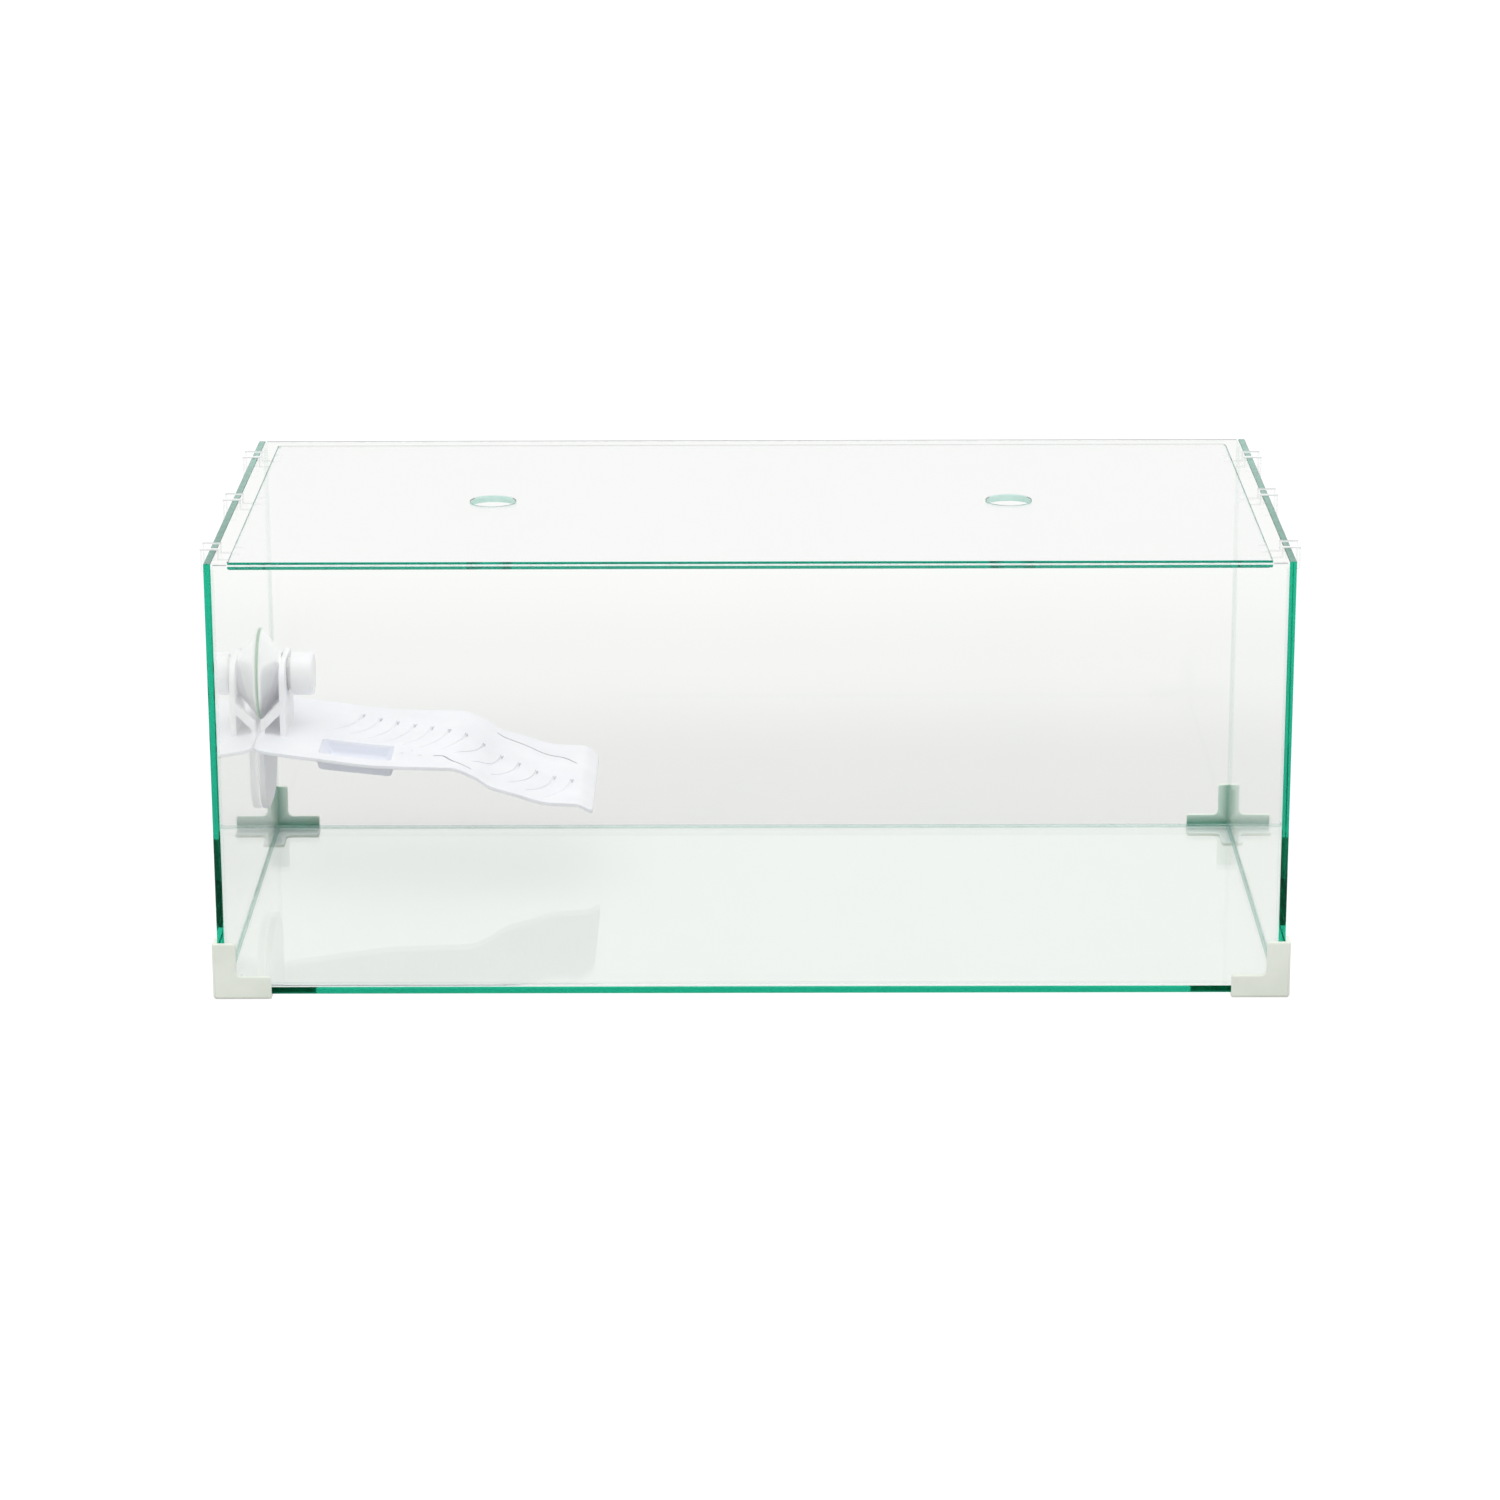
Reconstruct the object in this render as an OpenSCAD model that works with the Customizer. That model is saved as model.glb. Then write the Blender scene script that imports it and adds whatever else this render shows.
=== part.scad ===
// Glass aquarium tank with a lift-off glass lid on six clear clips, four corner guards
// and a basking platform that a suction cup holds to the left wall.
// Millimetres, Z up, origin in the middle of the footprint on the floor.

/* [Tank] */
// Outside width of the glass box
tank_w = 600; // [500:10:900]
// Outside depth of the glass box
tank_d = 300; // [260:10:450]
// Height of the glass box from its underside to the rim
tank_h = 250; // [220:10:400]
// Thickness of the five glass panels
glass_t = 4; // [3:0.5:6]
// Depth of the front panel's top below the rim
front_drop = 1.4; // [0:0.1:2]

/* [Silicone seams] */
// Silicone between two panels
bond_t = 0.5; // [0.3:0.1:1]
// Leg of the silicone fillet along the inside corners
bead = 1.5; // [1:0.5:4]

/* [Corner guards] */
// Length of a guard arm from the outside corner
guard_len = 33; // [26:1:45]
// Width of a guard arm
guard_arm = 13.5; // [10:0.5:18]
// Wall of a guard beside the glass
guard_wall = 3; // [2:0.5:4]
// Thickness of a guard below the glass
guard_foot = 2.5; // [2:0.5:5]
// Radius of the outside edges
guard_round = 2; // [1:0.5:2]
// Radius of the inside corner between two arms
guard_fillet = 3.5; // [1:0.5:6]

/* [Lid] */
// Thickness of the lid glass
lid_t = 4; // [3:0.5:6]
// Gap between lid and side panel
lid_side_gap = 8.5; // [6:0.5:12]
// Gap between lid and front panel
lid_front_gap = 0.5; // [0.3:0.1:5]
// Gap between lid and back panel
lid_back_gap = 7; // [3:0.5:12]
// Depth of the lid's top below the rim
lid_drop = 0.4; // [0:0.1:3]
// Radius of the lid's corners in plan
lid_corner = 2; // [1:0.5:10]
// Diameter of the two finger holes
hole_d = 26; // [20:1:35]
// Distance of each finger hole from the middle of the lid
hole_x = 149; // [80:1:180]

/* [Lid clips] */
// Length of a clip along the rim
clip_len = 15; // [10:1:20]
// Wall of a clip
clip_t = 1.2; // [1:0.1:3]
// Reach of a clip outside the side panel
clip_reach = 5.3; // [4:0.1:7]
// Clearance between a clip's leg and the panel
clip_gap = 0.3; // [0.1:0.1:0.6]
// Length of the outer leg below the rim
clip_drop = 12; // [8:1:20]
// Length of the ledge under the lid
clip_hold = 4.8; // [3:0.2:8]
// Places of the left clips as shares of the depth, front to back
clip_left = [-0.377, 0.011, 0.371]; // [-0.4:0.001:0.4]
// Places of the right clips as shares of the depth, front to back
clip_right = [-0.377, 0.033, 0.351]; // [-0.4:0.001:0.4]

/* [Suction cup and knob] */
// Height of the stud's axis above the inside floor
stud_h = 118.5; // [100:0.5:150]
// Radius of the stud
stud_r = 4; // [3:0.5:5]
// Running clearance round the stud
stud_gap = 0.06; // [0.03:0.01:0.1]
// Radius of the suction cup at the glass
cup_r = 27.5; // [22:0.5:30]
// Depth of the suction cup with its boss
cup_h = 12.9; // [11:0.1:16]
// Depth of the suction cup's boss
boss_h = 1; // [0.5:0.1:2]
// Radius of the suction cup's boss
boss_r = 13.3; // [9:0.1:15]
// Radius of the knob
knob_r = 13; // [10:0.5:16]
// Length of the knob's grip
knob_len = 13.3; // [10:0.1:18]
// Length of the knob's neck
neck_len = 2.2; // [1.5:0.1:4]

/* [Basking platform] */
// Length of the deck from the wall
deck_len = 200.5; // [170:0.5:240]
// Width of the deck
deck_w = 121; // [100:1:140]
// Thickness of the deck
deck_t = 2.2; // [1.8:0.1:4]
// Height of the stud above the deck at the wall
deck_below = 29.8; // [28:0.1:36]
// Fall of the deck from the wall to its end
deck_fall = 39.4; // [20:0.1:50]
// Gap between the deck and the back panel
deck_back_gap = 3.5; // [2:0.5:30]
// Gap between the platform and the wall
wall_gap = 0.5; // [0.3:0.1:1]
// Corner radius of the deck's free end
deck_end_r = 7; // [3:0.5:15]
// Corner radius of the deck at the wall
deck_wall_r = 6; // [5:0.5:25]
// Width of the upright plate behind the knob
plate_w = 51; // [46:1:60]
// Thickness of the upright plate
plate_t = 3.5; // [2.5:0.1:5]
// Height of the upright plate above the stud
plate_up = 12; // [10:0.5:20]
// Radius of the upright plate's upper corners
plate_r = 12; // [6:0.5:14]
// Height above the deck at which the struts meet the upright plate
strut_up = 18.4; // [16:0.1:20]
// Upright thickness of a strut
strut_t = 7.5; // [5:0.1:8]
// Width of a strut
strut_w = 4; // [3:0.5:6]
// Width of the tongue that rests on the wall
tongue_w = 70; // [40:1:80]
// Length of the tongue below the deck
tongue_len = 51; // [30:1:60]
// Thickness of the tongue
tongue_t = 4; // [2.5:0.1:6]
// Radius of the tongue's lower corners
tongue_r = 25; // [10:1:30]

/* [Food trough] */
// Distance of the trough from the wall
trough_x = 38; // [34:1:60]
// Length of the trough
trough_len = 43; // [30:1:45]
// Width of the trough
trough_w = 30; // [20:1:31]
// Distance of the trough from the deck's front edge
trough_edge = 12; // [6:1:13]
// Depth of the trough below the deck's top
trough_depth = 8; // [6:0.5:14]
// Wall of the trough
trough_wall = 2; // [1.5:0.1:3]
// Slope of the trough's end walls over its depth
trough_slope = 4.5; // [2:0.5:6]

/* [Drain slots] */
// Number of shallow slots, each with a drain hole at its far end
slot_count = 13; // [8:1:13]
// Distance from one slot to the next along the deck
slot_pitch = 10.8; // [9:0.1:10.9]
// Sideways step from one slot to the next
slot_step = 4.5; // [3:0.1:4.5]
// Width of a slot
slot_w = 1.8; // [1.5:0.1:3]
// Diameter of a drain hole
drain_d = 1.4; // [1:0.1:1.4]
// Radius of a slot's curve
slot_r = 60; // [50:1:62]
// Sweep of a slot's curve in degrees
slot_turn = 42; // [25:1:42]
// Distance of the first slot's far end from the wall
slot_x = 57.7; // [55:0.1:62]
// Distance of the first slot's far end from the deck's back edge
slot_y = 18.2; // [10:0.1:19]

/* [Hidden] */
$fn = 96;
eps = 0.01;
over = 1;

// Heights of the main planes
glass_z = guard_foot;
floor_z = glass_z + glass_t;
wall_z = floor_z + bond_t;
rim_z = glass_z + tank_h;

// Inside faces of the walls
in_x = tank_w / 2 - glass_t;
in_y = tank_d / 2 - glass_t;
end_x = in_x - bond_t;

// Lid
lid_w = 2 * (in_x - lid_side_gap);
lid_d = 2 * in_y - lid_front_gap - lid_back_gap;
lid_y = (lid_front_gap - lid_back_gap) / 2;
lid_top = rim_z - lid_drop;
lid_z = lid_top - lid_t;

// Clip section: faces measured outwards from the side panel's outside face
clip_in = -glass_t - clip_gap;
clip_ledge_end = -glass_t - lid_side_gap - clip_hold;

// Platform: distances are measured from the left wall's inside face
stud_z = floor_z + stud_h;
deck_y1 = in_y - deck_back_gap;
deck_y0 = deck_y1 - deck_w;
mid_y = (deck_y0 + deck_y1) / 2;
deck_z = stud_z - deck_below;

// Clearances along the stud
face_gap = 0.1;
end_gap = 0.2;

// Suction cup: edge and hollow of the cone, and the stud's head in it
cup_edge = 0.8;
cup_lip = 4;
cup_hollow = 5;
cone_h = cup_h - boss_h;
head_t = 2.5;
head_cover = 1;
head_step = 1.5;
head_r = stud_r + head_step;
head_x = cone_h - head_t - head_cover;

// Knob
plate_x = cup_h + face_gap;
knob_x = plate_x + plate_t + face_gap;
grip_x = knob_x + neck_len;
knob_end = grip_x + knob_len;
neck_step = 3;
knob_chamfer = 1;
knob_cap = 2.5;
stud_end = knob_end - knob_cap;

// Struts: distance from the wall, foot on the deck, and root of the upright plate in the deck
strut_gap = 1;
strut_foot = 2.5;
strut_x = wall_gap + strut_gap;
plate_root = 2;

// Trough
trough_y = deck_y0 + trough_edge;
trough_x1 = trough_x + trough_len;

// Lines and dimples in the deck, from the wall and the deck's back edge
back_line = [[139, 12.4], [144, 15.7], [156, 19.5], [169, 25.2], [180, 27], [189, 39]];
front_line = [[105.3, 97.4], [111.6, 97], [117.3, 107.8], [129, 110.8]];
dimples = [[86.5, 94.6], [91.5, 88.5], [97.5, 97.5]];
line_w = 1.6;
line_depth = 0.9;
dimple_r = 1.3;

// Shape of the deck: shares of its length and of its fall
wave = [
    [0, 0], [0.06, 0.05], [0.2, 0.15], [0.37, 0.255], [0.51, 0.28], [0.58, 0.29],
    [0.65, 0.42], [0.7, 0.585], [0.77, 0.695], [0.87, 0.84], [0.955, 0.865], [1, 1]
];
wave_steps = 5;
wave_last = len(wave) - 1;

// Smooth curve through the wave's points
function rise(i) = (wave[i + 1][1] - wave[i][1]) / (wave[i + 1][0] - wave[i][0]);
function lean(i) =
    i == 0 ? rise(0) :
    i == wave_last ? rise(i - 1) :
    2 * rise(i - 1) * rise(i) / (rise(i - 1) + rise(i));
function h00(u) = (1 + 2 * u) * (1 - u) * (1 - u);
function h10(u) = u * (1 - u) * (1 - u);
function h01(u) = u * u * (3 - 2 * u);
function h11(u) = u * u * (u - 1);
function share(i, u) =
    h00(u) * wave[i][1] + h01(u) * wave[i + 1][1]
    + (wave[i + 1][0] - wave[i][0]) * (h10(u) * lean(i) + h11(u) * lean(i + 1));
function along(i, u) = wave[i][0] + u * (wave[i + 1][0] - wave[i][0]);
function spot(i, u) = [wall_gap + along(i, u) * deck_len, deck_z - share(i, u) * deck_fall];
deck_line = concat(
    [for (i = [0 : wave_last - 1]) for (k = [0 : wave_steps - 1]) spot(i, k / wave_steps)],
    [spot(wave_last - 1, 1)]
);

// Height of the deck's top at a distance from the wall
function deck_top(x) = lookup(x, deck_line);

// Box from one corner to the opposite one
module box(a, b) {
    translate(a) cube(b - a);
}

// Flat shape in X and Z, drawn out along Y from y0 to y1
module along_y(y0, y1) {
    translate([0, y1, 0]) rotate([90, 0, 0]) linear_extrude(height = y1 - y0) children();
}

// Flat shape in Y and Z, drawn out along X from x0 to x1
module along_x(x0, x1) {
    translate([x0, 0, 0]) rotate([90, 0, 90]) linear_extrude(height = x1 - x0) children();
}

// Rectangle with its own radius at the left and the right corners
module soft_plate(x0, y0, x1, y1, r_left, r_right) {
    translate([x0 + r_left, y0]) square([x1 - r_right - x0 - r_left, y1 - y0]);
    translate([x0, y0 + r_left]) square([r_left + eps, y1 - y0 - 2 * r_left]);
    translate([x1 - r_right - eps, y0 + r_right]) square([r_right + eps, y1 - y0 - 2 * r_right]);
    for (y = [y0 + r_left, y1 - r_left]) translate([x0 + r_left, y]) circle(r = r_left);
    for (y = [y0 + r_right, y1 - r_right]) translate([x1 - r_right, y]) circle(r = r_right);
}

// Glass panels
module bottom_panel() {
    color([0.62, 0.86, 0.8, 0.4])
    box([-tank_w / 2, -tank_d / 2, glass_z], [tank_w / 2, tank_d / 2, floor_z]);
}

module front_panel() {
    color([0.7, 0.9, 0.86, 0.3])
    box([-end_x, -tank_d / 2, wall_z], [end_x, -in_y, rim_z - front_drop]);
}

module back_panel() {
    color([0.7, 0.9, 0.86, 0.3])
    box([-end_x, in_y, wall_z], [end_x, tank_d / 2, rim_z]);
}

module side_panel(side) {
    color([0.62, 0.86, 0.8, 0.4])
    translate([side * (in_x + glass_t / 2), 0, 0])
    box([-glass_t / 2, -tank_d / 2, wall_z], [glass_t / 2, tank_d / 2, rim_z]);
}

module left_panel() {
    side_panel(-1);
}

module right_panel() {
    side_panel(1);
}

// Silicone below the front or back panel, with a fillet along the inside
module seam_long(side) {
    color([0.86, 0.9, 0.88, 0.6])
    mirror([0, side > 0 ? 1 : 0, 0]) {
        box([-end_x, -tank_d / 2, floor_z], [end_x, -in_y, wall_z]);
        along_end(-in_x + bead, in_x - bead)
        polygon([[-in_y - eps, floor_z], [-in_y + bead, floor_z], [-in_y - eps, wall_z + bead]]);
    }
}

module along_end(x0, x1) {
    intersection() {
        along_x(x0, x1) children();
        box([x0, -in_y, 0], [x1, 0, rim_z]);
    }
}

module seam_bottom_front() {
    seam_long(-1);
}

module seam_bottom_back() {
    seam_long(1);
}

// Silicone below a side panel, with a fillet along the inside
module seam_short(side) {
    color([0.86, 0.9, 0.88, 0.6])
    mirror([side > 0 ? 1 : 0, 0, 0]) {
        box([-tank_w / 2, -tank_d / 2, floor_z], [-in_x, tank_d / 2, wall_z]);
        intersection() {
            along_y(-in_y, in_y)
            polygon([[-in_x - eps, floor_z], [-in_x + bead, floor_z], [-in_x - eps, wall_z + bead]]);
            box([-in_x, -in_y, 0], [0, in_y, rim_z]);
        }
    }
}

module seam_bottom_left() {
    seam_short(-1);
}

module seam_bottom_right() {
    seam_short(1);
}

// Silicone up an inside corner, at the end of the front or back panel
module seam_corner(side_x, side_y) {
    color([0.86, 0.9, 0.88, 0.6])
    mirror([side_x > 0 ? 1 : 0, 0, 0]) mirror([0, side_y > 0 ? 1 : 0, 0]) {
        box([-in_x, -tank_d / 2, wall_z], [-end_x, -in_y, lid_z]);
        translate([0, 0, wall_z + bead])
        linear_extrude(height = lid_z - wall_z - bead)
        polygon([[-in_x, -in_y - eps], [-end_x, -in_y - eps], [-end_x, -in_y],
            [-in_x + bead, -in_y], [-in_x, -in_y + bead]]);
    }
}

module seam_front_left() {
    seam_corner(-1, -1);
}

module seam_front_right() {
    seam_corner(1, -1);
}

module seam_back_left() {
    seam_corner(-1, 1);
}

module seam_back_right() {
    seam_corner(1, 1);
}

// Two arms of a guard in the flat, with a fillet between them
module elbow() {
    square([guard_len, guard_arm]);
    square([guard_arm, guard_len]);
    difference() {
        square(guard_arm + guard_fillet);
        translate([guard_arm + guard_fillet, guard_arm + guard_fillet]) circle(r = guard_fillet);
    }
}

// Square with one rounded corner at the origin
module round_corner(size) {
    translate([guard_round, 0]) square([size - guard_round, size]);
    translate([0, guard_round]) square([size, size - guard_round]);
    translate([guard_round, guard_round]) circle(r = guard_round);
}

// Guard in its own frame, with the outside corner at the origin
module guard_shape() {
    intersection() {
        union() {
            linear_extrude(height = guard_foot) elbow();
            along_y(0, guard_wall) elbow();
            along_x(0, guard_wall) elbow();
        }
        linear_extrude(height = guard_len) round_corner(guard_len);
        along_y(0, guard_len) round_corner(guard_len);
        along_x(0, guard_len) round_corner(guard_len);
    }
}

module guard(side_x, side_y) {
    color([0.93, 0.93, 0.9])
    mirror([side_x > 0 ? 1 : 0, 0, 0]) mirror([0, side_y > 0 ? 1 : 0, 0])
    translate([-tank_w / 2 - guard_wall, -tank_d / 2 - guard_wall, 0]) guard_shape();
}

module guard_front_left() {
    guard(-1, -1);
}

module guard_front_right() {
    guard(1, -1);
}

module guard_back_left() {
    guard(-1, 1);
}

module guard_back_right() {
    guard(1, 1);
}

// Lid with two finger holes
module lid_glass() {
    color([0.7, 0.9, 0.86, 0.3])
    translate([0, lid_y, lid_z])
    difference() {
        linear_extrude(height = lid_t)
        soft_plate(-lid_w / 2, -lid_d / 2, lid_w / 2, lid_d / 2, lid_corner, lid_corner);
        for (x = [-hole_x, hole_x])
            translate([x, 0, -over]) cylinder(h = lid_t + 2 * over, d = hole_d);
    }
}

// Clip section: bridge over the rim, outer leg with a toe, inner leg with a ledge
module clip_section() {
    translate([clip_in - clip_t, 0]) square([clip_reach - clip_in + clip_t, clip_t]);
    translate([clip_reach - clip_t, -clip_drop]) square([clip_t, clip_drop + clip_t]);
    translate([clip_gap, -clip_drop]) square([clip_reach - clip_gap, clip_t]);
    translate([clip_in - clip_t, lid_z - clip_t - rim_z]) square([clip_t, rim_z - lid_z + 2 * clip_t]);
    translate([clip_ledge_end, lid_z - clip_t - rim_z]) square([clip_in - clip_ledge_end, clip_t]);
}

module clip(side, place) {
    color([0.9, 0.93, 0.92, 0.35])
    mirror([side < 0 ? 1 : 0, 0, 0])
    translate([tank_w / 2, 0, rim_z])
    along_y(place * tank_d - clip_len / 2, place * tank_d + clip_len / 2) clip_section();
}

module clip_left_front() {
    clip(-1, clip_left[0]);
}

module clip_left_middle() {
    clip(-1, clip_left[1]);
}

module clip_left_back() {
    clip(-1, clip_left[2]);
}

module clip_right_front() {
    clip(1, clip_right[0]);
}

module clip_right_middle() {
    clip(1, clip_right[1]);
}

module clip_right_back() {
    clip(1, clip_right[2]);
}

// Frame of the stud: X runs from the left wall into the tank along the stud's axis
module on_stud() {
    translate([-in_x, mid_y, stud_z]) rotate([0, 90, 0]) children();
}

// Frame of the platform: X from the left wall, Y and Z as in the tank
module on_wall() {
    translate([-in_x, 0, 0]) children();
}

// Cup: a shallow cone with a boss, hollow on the glass side
module suction_cup() {
    color([0.93, 0.95, 0.93])
    on_stud()
    rotate_extrude()
    polygon([
        [stud_r, cup_h], [stud_r, head_x + head_t], [head_r, head_x + head_t], [head_r, head_x],
        [0, head_x], [0, cup_hollow], [cup_r - cup_lip, 0],
        [cup_r, 0], [cup_r, cup_edge], [boss_r, cone_h], [boss_r, cup_h]
    ]);
}

// Stud with its head moulded into the cup
module cup_stud() {
    color([0.9, 0.91, 0.92])
    on_stud()
    translate([0, 0, head_x]) {
        cylinder(h = head_t, r = head_r);
        cylinder(h = stud_end - head_x, r = stud_r);
    }
}

// Knob that tightens the platform onto the stud
module lock_knob() {
    color([0.95, 0.95, 0.97])
    on_stud()
    difference() {
        union() {
            translate([0, 0, knob_x]) cylinder(h = neck_len + over, r = knob_r - neck_step);
            translate([0, 0, grip_x]) cylinder(h = knob_len - knob_chamfer, r = knob_r);
            translate([0, 0, knob_end - knob_chamfer])
            cylinder(h = knob_chamfer, r1 = knob_r, r2 = knob_r - knob_chamfer);
        }
        translate([0, 0, knob_x - over])
        cylinder(h = stud_end + end_gap - knob_x + over, r = stud_r + stud_gap);
    }
}

// Sheet that follows the deck between two depths below its top
module deck_layer(down_0, down_1) {
    along_y(deck_y0, deck_y1)
    polygon(concat(
        [for (q = deck_line) [q[0], q[1] - down_0]],
        [for (i = [len(deck_line) - 1 : -1 : 0]) [deck_line[i][0], deck_line[i][1] - down_1]]
    ));
}

module deck_plan() {
    linear_extrude(height = stud_z)
    soft_plate(wall_gap, deck_y0, wall_gap + deck_len, deck_y1, deck_wall_r, deck_end_r);
}

// Curved slot with round ends
module slot(i) {
    translate([slot_x + i * slot_pitch - slot_r, deck_y1 - slot_y - i * slot_step, floor_z]) {
        rotate([0, 0, -slot_turn])
        rotate_extrude(angle = slot_turn)
        translate([slot_r - slot_w / 2, 0]) square([slot_w, deck_z]);
        for (a = [0, -slot_turn])
            rotate([0, 0, a]) translate([slot_r, 0, 0]) cylinder(h = deck_z, d = slot_w, $fn = 32);
    }
}

// Drain hole at a slot's far end
module drain(i) {
    translate([slot_x + i * slot_pitch, deck_y1 - slot_y - i * slot_step, floor_z])
    cylinder(h = deck_z, d = drain_d, $fn = 24);
}

// Shallow line in the deck, drawn through points given from the wall and the deck's back edge
module line_cut(points) {
    for (i = [0 : len(points) - 2]) {
        step = points[i + 1] - points[i];
        translate([points[i][0], deck_y1 - points[i][1], floor_z])
        rotate([0, 0, -atan2(step[1], step[0])])
        translate([0, -line_w / 2, 0]) cube([norm(step), line_w, deck_z]);
    }
    for (q = points)
        translate([q[0], deck_y1 - q[1], floor_z]) cylinder(h = deck_z, d = line_w, $fn = 24);
}

module deck_relief() {
    intersection() {
        deck_layer(-over, line_depth);
        union() {
            for (i = [0 : slot_count - 1]) slot(i);
            line_cut(back_line);
            line_cut(front_line);
            for (q = dimples)
                translate([q[0], deck_y1 - q[1], floor_z]) cylinder(h = deck_z, r = dimple_r, $fn = 24);
        }
    }
}

// Trough: a tub under the deck that narrows towards its floor
module tub(wall, up, down) {
    along_y(trough_y - wall, trough_y + trough_w + wall)
    polygon([
        [trough_x - wall, deck_top(trough_x) + up],
        [trough_x1 + wall, deck_top(trough_x1) + up],
        [trough_x1 + wall - trough_slope, deck_top(trough_x1) - down],
        [trough_x - wall + trough_slope, deck_top(trough_x) - down]
    ]);
}

// Upright plate with soft upper corners
module upright() {
    top = stud_z + plate_up;
    root = deck_z - deck_t - plate_root;
    along_x(plate_x, plate_x + plate_t) {
        translate([mid_y - plate_w / 2, root]) square([plate_w, top - plate_r - root]);
        translate([mid_y - plate_w / 2 + plate_r, root]) square([plate_w - 2 * plate_r, top - root]);
        for (s = [-1, 1])
            translate([mid_y + s * (plate_w / 2 - plate_r), top - plate_r]) circle(r = plate_r);
    }
}

// Struts that lean from the deck to the upright plate beside the cup, each with a foot on the deck
function strut_z(x) = deck_z + strut_up - plate_x + x;

module struts() {
    for (y = [mid_y - plate_w / 2, mid_y + plate_w / 2 - strut_w])
        along_y(y, y + strut_w)
        polygon([
            [strut_x, strut_z(strut_x)],
            [plate_x + eps, strut_z(plate_x + eps)],
            [plate_x + eps, strut_z(plate_x + eps) - strut_t],
            [strut_x + strut_foot, strut_z(strut_x + strut_foot) - strut_t],
            [strut_x + strut_foot, deck_z - deck_t],
            [strut_x, deck_z - deck_t]
        ]);
}

// Tongue that rests on the wall below the deck
module tongue() {
    soft = min(tongue_r, tongue_w / 2 - eps);
    low = deck_z - tongue_len;
    along_x(wall_gap, wall_gap + tongue_t) {
        translate([mid_y - tongue_w / 2, low + soft])
        square([tongue_w, tongue_len - soft - deck_t / 2]);
        translate([mid_y - tongue_w / 2 + soft, low]) square([tongue_w - 2 * soft, soft + eps]);
        for (s = [-1, 1])
            translate([mid_y + s * (tongue_w / 2 - soft), low + soft]) circle(r = soft);
    }
}

module basking_deck() {
    color([0.96, 0.96, 0.98])
    on_wall()
    difference() {
        union() {
            difference() {
                intersection() {
                    deck_layer(0, deck_t);
                    deck_plan();
                }
                deck_relief();
                for (i = [0 : slot_count - 1]) drain(i);
            }
            tub(trough_wall, -deck_t / 2, trough_depth + trough_wall);
            upright();
            struts();
            tongue();
        }
        tub(0, over, trough_depth);
        translate([plate_x - over, mid_y, stud_z]) rotate([0, 90, 0])
        cylinder(h = plate_t + 2 * over, r = stud_r + stud_gap);
    }
}

bottom_panel();
front_panel();
back_panel();
left_panel();
right_panel();
seam_bottom_front();
seam_bottom_back();
seam_bottom_left();
seam_bottom_right();
seam_front_left();
seam_front_right();
seam_back_left();
seam_back_right();
guard_front_left();
guard_front_right();
guard_back_left();
guard_back_right();
lid_glass();
clip_left_front();
clip_left_middle();
clip_left_back();
clip_right_front();
clip_right_middle();
clip_right_back();
suction_cup();
cup_stud();
lock_knob();
basking_deck();
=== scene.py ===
"""Glass aquarium tank: glass, silicone, guards, clips, basking platform, studio and camera. Metres, Z up."""
import math

import bmesh
import bpy
from mathutils import Matrix, Vector


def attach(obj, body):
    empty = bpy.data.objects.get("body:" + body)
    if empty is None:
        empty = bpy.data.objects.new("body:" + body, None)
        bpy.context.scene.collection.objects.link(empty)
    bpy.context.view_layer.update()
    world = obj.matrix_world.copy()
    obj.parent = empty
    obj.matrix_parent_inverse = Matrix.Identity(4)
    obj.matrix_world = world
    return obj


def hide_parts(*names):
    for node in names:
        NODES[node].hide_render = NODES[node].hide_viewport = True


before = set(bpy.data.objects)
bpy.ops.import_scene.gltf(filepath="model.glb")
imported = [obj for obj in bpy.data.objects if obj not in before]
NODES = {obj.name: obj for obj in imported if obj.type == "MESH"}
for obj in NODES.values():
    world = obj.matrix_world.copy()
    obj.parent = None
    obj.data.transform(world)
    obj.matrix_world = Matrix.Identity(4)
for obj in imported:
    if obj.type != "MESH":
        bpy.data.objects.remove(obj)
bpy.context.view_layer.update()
SCENE = bpy.context.scene

# Metres in a millimetre, and how close points lie that become one
MM = 0.001
TINY, WELD = 5e-6, 1e-6

SEAMS = tuple(n for n in NODES if n.startswith("seam_"))
GUARDS = tuple(n for n in NODES if n.startswith("guard_"))
CLIPS = tuple(n for n in NODES if n.startswith("clip_"))

# Camera: place, turn and focal length fitted to the edges of the glass
PHOTO_PX = 1500
FOCAL_PX = 4734.4
SENSOR_MM = 36.0
CAMERA_AT = Vector((0.0118, -2.665, 0.9005))
SEEN_FROM, SEEN_TO = 0.05, 60.0
YAW = math.radians(-0.274)
PITCH = math.radians(16.71)
ROLL = math.radians(-0.192)

# Light: the world is the studio, white where it is looked at
SKY_TOP, SKY_FRONT, SKY_RISE = 0.96, 0.70, 0.8
LAMP_WATT, LAMP_SIZE = 11.0, (2.4, 1.8)
LAMP_AT, LAMP_LEAN = (-0.2, -0.5, 1.9), math.radians(14)
LIGHT_BOUNCES, CLEAR_BOUNCES = 72, 32

# Floor: its half size, its shade in the light, and what the camera sees of it
FLOOR_HALF = 12.0
FLOOR_ALBEDO = 0.62
FLOOR_DIM, FLOOR_GLOW = 0.2, 0.88

# Floor as the glass shows it, with painted shade and a painted green tint by the tank's foot: distance from
# the foot in metres and level, shares of red and blue near the foot and further away, and the share that
# takes real shadows
FOOT_X, FOOT_Y = 0.30, 0.15
PAINTED_FLOOR_LEVELS = ((0.0, 0.91), (0.015, 0.80), (0.15, 0.81), (0.4, 0.91), (0.7, 0.97), (2.5, 0.98))
TINT_REACH, PAINTED_FLOOR_TINT, FLOOR_PLAIN = 0.01, (0.97, 0.96), (1.0, 0.985)
BEHIND_SHADE = 0.3

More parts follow.
